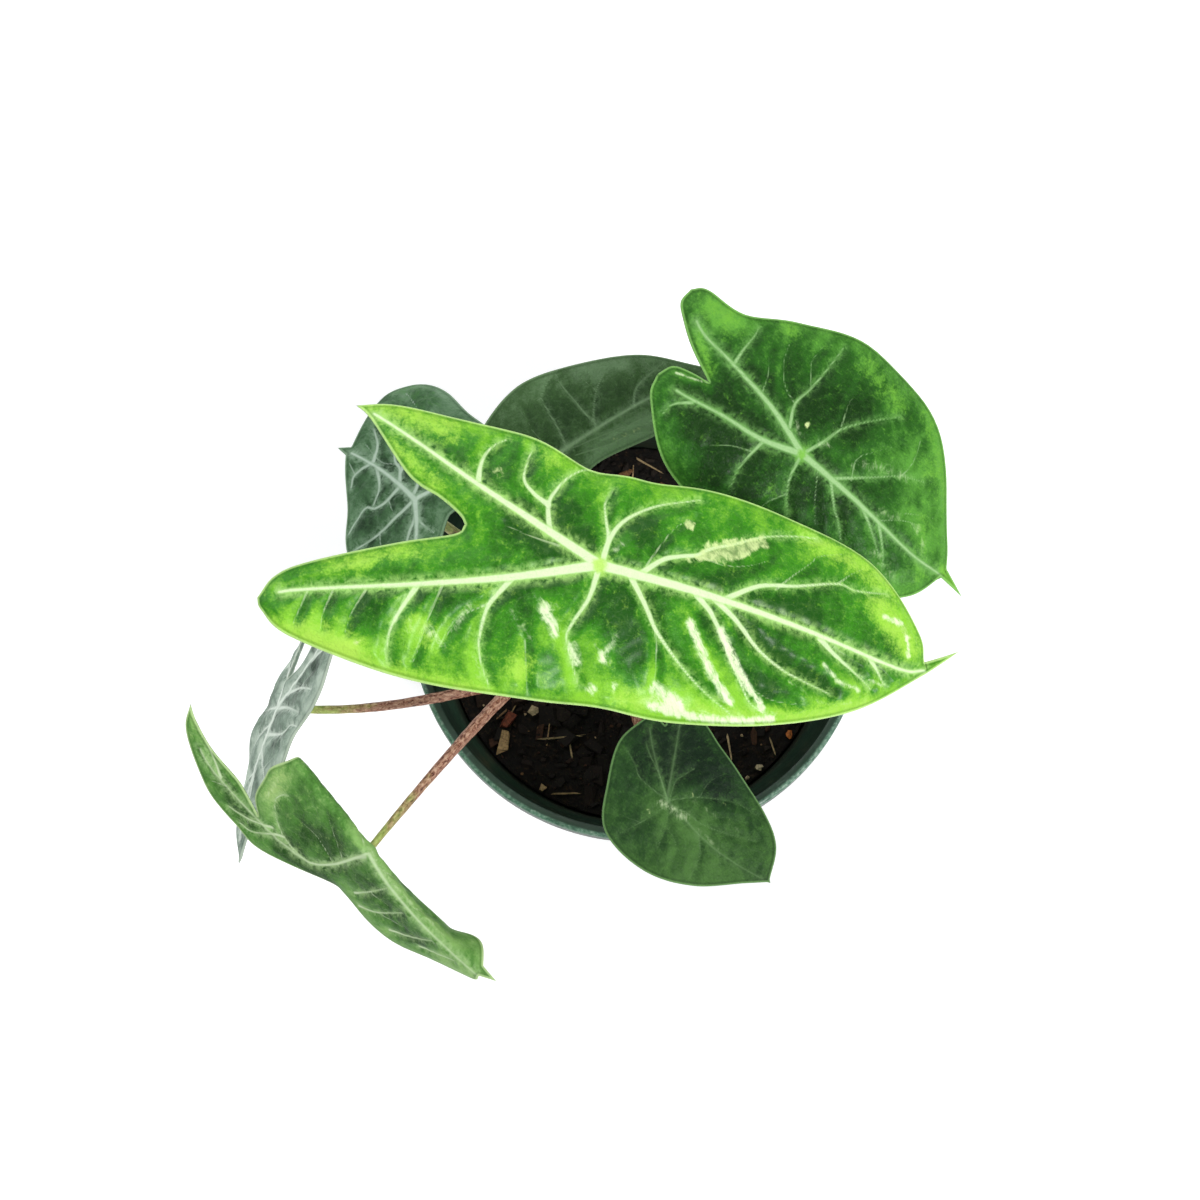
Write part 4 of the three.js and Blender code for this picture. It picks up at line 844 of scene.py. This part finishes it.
def leaf_finish(name, palette, rough=0.42, net=0.12, net_size=0.34, halo=0.35, coat=0.0, thin=0.5, side=0.85,
                blotch=0.5, ribs=0.95, web_wide=0.11):
    """Leaf skin: green by zones, mottles, a fine net, pale veins of three sizes, a margin and an underside"""
    dark, mid, light, vein, under, yellow = [tint(*color) for color in palette]
    m = Finish(name, Specular_IOR_Level=0.1, Coat_Weight=coat, Coat_Roughness=0.3)
    flat = m.note("flat")
    main, lateral, small = m.parts(m.note("veins"))
    tone, mottle, cream = m.parts(m.note("look"))
    near, below, shine = m.parts(m.note("skin"))
    # clouds, slanted and combed strokes, and two nets of cells
    broad = m.noise(flat, 0.11, 2, 0.5, 0.4)
    fine = m.noise(flat, 1.5, 4, 0.6)
    patch = m.noise(flat, 0.42, 3, 0.6, 0.5)
    streak = m.noise(m.scaled(flat, (0.35, 1.6, 1)), 1.1, 3, 0.6)
    wander = m.add("TexNoise", 1, {"Vector": flat, "Scale": 0.5, "Detail": 2.0})
    web = m.cells(m.moved(flat, wander, 2.6), net_size)
    hair = m.cells(m.moved(flat, wander, 1.2), net_size * 3.1)
    slant = m.add("VectorRotate", 0, {"Vector": m.moved(flat, wander, 1.5), "Angle": 0.8},
                  rotation_type="Z_AXIS")
    slant = m.noise(m.scaled(slant, (0.22, 1.1, 1)), 0.9, 4, 0.65, 0.3)
    comb = m.noise(m.scaled(m.moved(flat, wander, 4.0), (0.8, 0.3, 1)), 0.9, 3, 0.6)
    # green by zones; the tone note carries painted light and shade as well as the leaf's own zones
    level = tone
    for cloud, share in ((broad, blotch), (fine, 0.38), (streak, 0.22), (patch, 0.4)):
        level = m.plus(level, m.about(cloud, share))
    color = m.ramp(level, [(0.12, dark), (0.5, mid), (0.92, light)])
    fresh = m.mix(0.3, light, vein)
    # flecks and nets
    flecks = m.fade(m.plus(m.times(mottle, 0.5), m.plus(patch, m.about(fine, 0.7))), 0.55, 1.1)
    color = m.mix(m.times(flecks, 0.62, True), color, yellow)
    lines = m.fade(web, 0.0, web_wide, 1.0, 0.0)
    color = m.mix(m.times(lines, m.fade(patch, 0.3, 0.7, net * 0.3, net)), color, fresh)
    color = m.mix(m.fade(hair, 0.0, 0.09, net * 0.2, 0.0), color, fresh)
    # a glow beside the veins, then the veins from thin to thick, each with a ragged edge
    glow = m.times(m.fade(lateral, -0.2, 2.2, halo, 0.0), m.fade(m.plus(patch, m.times(fine, 0.5)), 0.6, 0.9))
    color = m.mix(glow, color, fresh)
    glow = m.times(m.fade(main, -0.2, 3.2, halo * 1.5, 0.0), m.fade(m.plus(comb, patch), 0.75, 1.25))
    color = m.mix(glow, color, fresh)
    ragged = m.plus(m.about(fine, 0.14), m.about(patch, 0.4))
    for value, over, start, end, share in (
            (small, vein, -0.12, 0.22, thin), (lateral, fresh, -0.2, 0.5, side * 0.6),
            (lateral, vein, -0.3, 0.22, side), (main, fresh, -0.1, 0.9, ribs * 0.75),
            (main, vein, -0.35, 0.3, ribs)):
        color = m.mix(m.fade(m.plus(value, ragged), start, end, share, 0.0), color, over)
    # cream patches, the strongest yellow, and painted highlights (shine)
    speck = m.plus(m.math("SUBTRACT", patch, 0.5), m.about(slant, 0.8))
    spots = m.times(m.fade(m.plus(cream, speck), 0.3, 0.75), m.fade(cream, 0.08, 0.35))
    spots = m.times(spots, m.fade(m.plus(patch, m.times(slant, 0.6)), 0.6, 0.95, 0.3, 0.85))
    color = m.mix(spots, color, tint(214, 232, 160))
    color = m.mix(m.fade(m.plus(mottle, speck), 0.95, 1.8, 0.0, 0.85), color, yellow)
    # painted highlight: near-white streaks over the shine marks
    painted_sheen = m.times(m.fade(m.plus(shine, m.times(speck, 1.5)), 0.25, 0.95), m.fade(shine, 0.0, 1.0, 0.0, 0.95))
    painted_sheen = m.times(painted_sheen, m.fade(slant, 0.35, 0.55, 0.6, 1.0))
    color = m.mix(painted_sheen, color, tint(236, 252, 206))
    # a dark seam inside the pale margin
    seam = m.times(m.fade(near, 0.5, 0.9), m.fade(near, 1.0, 1.7, 0.35, 0.0))
    color = m.mix(seam, color, dark)
    color = m.mix(m.fade(near, 0.3, 0.85, 0.72, 0.0), color, m.mix(0.45, yellow, vein))
    # the underside
    back = m.mix(m.fade(main, -0.2, 0.9, 0.7, 0.0), under, vein)
    back = m.mix(m.fade(lateral, -0.2, 0.6, 0.45, 0.0), back, vein)
    back = m.mix(m.times(lines, 0.18), back, vein)
    back = m.mix(m.fade(broad, 0.35, 0.65, 0.0, 0.25), back, color)
    color = m.mix(m.fade(below, 0.15, 0.85), color, back)
    gloss = m.math("SUBTRACT", m.plus(m.about(patch, 0.22), rough), m.times(shine, 0.1))
    gloss = m.plus(gloss, m.fade(below, 0.2, 0.8, 0.0, 0.15), True)
    height = m.plus(m.times(fine, 0.45), m.fade(hair, 0.0, 0.14, 0.0, 0.35))
    height = m.plus(height, m.fade(web, 0.0, 0.2, 0.0, 0.5))
    return m.done(color, gloss, height, 0.00022, 0.8)


def stalk_finish():
    """Stalk skin: pinkish brown, dark mottles in short bands, yellow-green near the blade"""
    m = Finish("stalk_skin", Specular_IOR_Level=0.4)
    flat = m.note("flat")
    _, run, share = m.parts(flat)
    wide = m.scaled(flat, (1.0, 0.55, 0))
    grain = m.noise(wide, 1.0, 4, 0.68, 0.5)
    broad = m.noise(wide, 0.3, 2, 0.5)
    streak = m.noise(m.scaled(flat, (1.6, 0.12, 0)), 1.3, 3, 0.6)
    color = m.ramp(grain, [(0.4, tint(78, 38, 28)), (0.47, tint(140, 88, 68)), (0.55, tint(174, 132, 111)),
                           (0.7, tint(208, 174, 150))])
    color = m.mix(m.fade(streak, 0.45, 0.65, 0.0, 0.25), color, tint(206, 168, 136))
    fresh = m.ramp(grain, [(0.3, tint(120, 140, 62)), (0.55, tint(168, 184, 96)), (0.75, tint(200, 208, 132))])
    color = m.mix(m.fade(m.plus(share, m.about(broad, 0.35)), 0.72, 0.97), color, fresh)
    color = m.mix(m.fade(run, 8.0, 40.0, 0.55, 0.0), color, tint(96, 62, 50))
    return m.done(color, m.fade(grain, 0.3, 0.7, 0.42, 0.58), m.plus(grain, m.times(streak, 0.6)), 0.00025, 0.7)


def pot_finish():
    """Moulded plastic: dark green, faintly clouded, a painted highlight along the outer edge of the lip broken
    up by scuff noise, dusty low inside
    """
    m = Finish("pot_plastic", Specular_IOR_Level=0.5)
    where = m.place()
    x, y, z = m.parts(where)
    cloud = m.noise(where, 28.0, 4, 0.6)
    grain = m.noise(where, 900.0, 3, 0.6)
    scuff = m.noise(m.scaled(where, (1, 1, 6)), 160.0, 4, 0.7, 0.5)
    color = m.ramp(cloud, [(0.3, tint(26, 46, 36)), (0.7, tint(38, 62, 48))])
    color = m.mix(m.times(m.fade(scuff, 0.58, 0.75), 0.3), color, tint(120, 145, 128))
    around = m.math("POWER", m.plus(m.times(x, x), m.times(y, y)), 0.5)
    # painted highlight: the outer edge of the lip's top made light, as on a lit rounded bead, broken up by scuff
    # noise
    lip = m.times(m.fade(around, 0.0756, 0.0765), m.fade(z, 0.1178, 0.119))
    painted_rim_highlight = m.ramp(m.noise(where, 700.0, 5, 0.8), [(0.34, tint(44, 78, 60)), (0.5, tint(84, 126, 102)),
                                                  (0.66, tint(150, 176, 156))])
    color = m.mix(m.times(lip, m.fade(scuff, 0.3, 0.6, 0.6, 0.95)), color, painted_rim_highlight)
    inner = m.math("LESS_THAN", around, m.plus(m.times(z, 0.159), 0.0543))
    dust = m.times(inner, m.fade(z, 0.084, 0.101, 0.7, 0.0))
    color = m.mix(m.times(dust, m.fade(scuff, 0.35, 0.6)), color, tint(58, 46, 36))
    return m.done(color, m.fade(scuff, 0.35, 0.7, 0.36, 0.56), grain, 0.00008, 0.5)


def soil_finish():
    """Peat between the chips: nearly black, crumbly, with lighter fibres"""
    m = Finish("peat", Specular_IOR_Level=0.25)
    where = m.place()
    lumps = m.noise(where, 420.0, 5, 0.7)
    fibre = m.noise(m.scaled(where, (1, 2.6, 1)), 700.0, 4, 0.7, 1.2)
    color = m.ramp(lumps, [(0.36, tint(7, 6, 5)), (0.56, tint(24, 19, 14)), (0.74, tint(66, 50, 36))])
    color = m.mix(m.fade(fibre, 0.64, 0.74, 0.0, 0.5), color, tint(128, 98, 66))
    return m.done(color, m.fade(lumps, 0.3, 0.7, 0.75, 0.95), m.plus(lumps, m.times(fibre, 0.5)), 0.0012, 0.9)


def bark_finish():
    """Bark and splinters: each bit's own colour, with grain along and darker hollows"""
    m = Finish("bark", Specular_IOR_Level=0.25)
    grain = m.noise(m.scaled(m.place(), (1, 1, 2.5)), 900.0, 4, 0.7, 0.8)
    color = m.mix(m.fade(grain, 0.35, 0.6, 0.55, 0.0), m.note("tone"), tint(20, 13, 9))
    color = m.mix(m.fade(grain, 0.6, 0.8, 0.0, 0.35), color, tint(150, 120, 86))
    return m.done(color, m.fade(grain, 0.3, 0.7, 0.7, 0.9), grain, 0.0005, 0.8)


stalk_skin = stalk_finish()
for name, leaf in LEAVES.items():
    blade(name, leaf, leaf_finish("leaf_" + leaf["finish"], leaf["palette"], **leaf["skin"]))
    stalk(name.replace("blade", "stalk"), leaf, stalk_skin)
pot(pot_finish())
soil(soil_finish())
chips(bark_finish())


# ---------------------------------------------------------------- floor, light and camera

def floor():
    """A plain pale floor under the pot"""
    bm = bmesh.new()
    bmesh.ops.create_grid(bm, x_segments=1, y_segments=1, size=7.0)
    mesh = mesh_of("floor", bm)
    m = Finish("floor_paint", Specular_IOR_Level=0.1, Roughness=0.9, Emission_Color=(1, 1, 1, 1),
               Emission_Strength=0.3)
    pale = m.ramp(m.noise(m.place(), 40.0, 2, 0.5), [(0.0, (0.93, 0.93, 0.93, 1)), (1.0, (0.95, 0.95, 0.95, 1))])
    m.feed(m.shader.inputs["Base Color"], pale)
    mesh.materials.append(m.material)
    put("floor", mesh)


def softbox(name, place, aim, size, power):
    """A large soft lamp at a place, turned to what it lights"""
    light = bpy.data.lights.new(name, "AREA")
    light.shape, light.size, light.energy = "DISK", size, power
    lamp = put(name, light)
    lamp.location = place
    lamp.rotation_euler = (Vector(aim) - Vector(place)).to_track_quat("-Z", "Y").to_euler()


floor()
softbox("window_light", (0.75, -0.75, 1.25), (0, 0, 0.2), 0.36, 15)
softbox("room_light", (-1.1, 0.7, 1.5), (0, 0, 0.1), 1.4, 12)
softbox("high_light", (0.1, 1.1, 1.6), (0, 0, 0.1), 1.2, 8)
sky = bpy.data.worlds.new("plain_sky")
sky.use_nodes = True
sky.node_tree.nodes["Background"].inputs["Color"].default_value = (0.96, 0.98, 1.0, 1)
sky.node_tree.nodes["Background"].inputs["Strength"].default_value = 0.42
bpy.context.scene.world = sky
bpy.context.scene.view_settings.view_transform = "Standard"

camera_data = bpy.data.cameras.new("camera")
camera_data.lens, camera_data.sensor_width = 70.56, 36
camera_data.clip_start, camera_data.clip_end = 0.05, 20
camera = put("camera", camera_data)
camera.location = (-0.013, -0.1621, 0.9025)
camera.rotation_euler = (math.radians(12), 0, 0)
bpy.context.scene.camera = camera
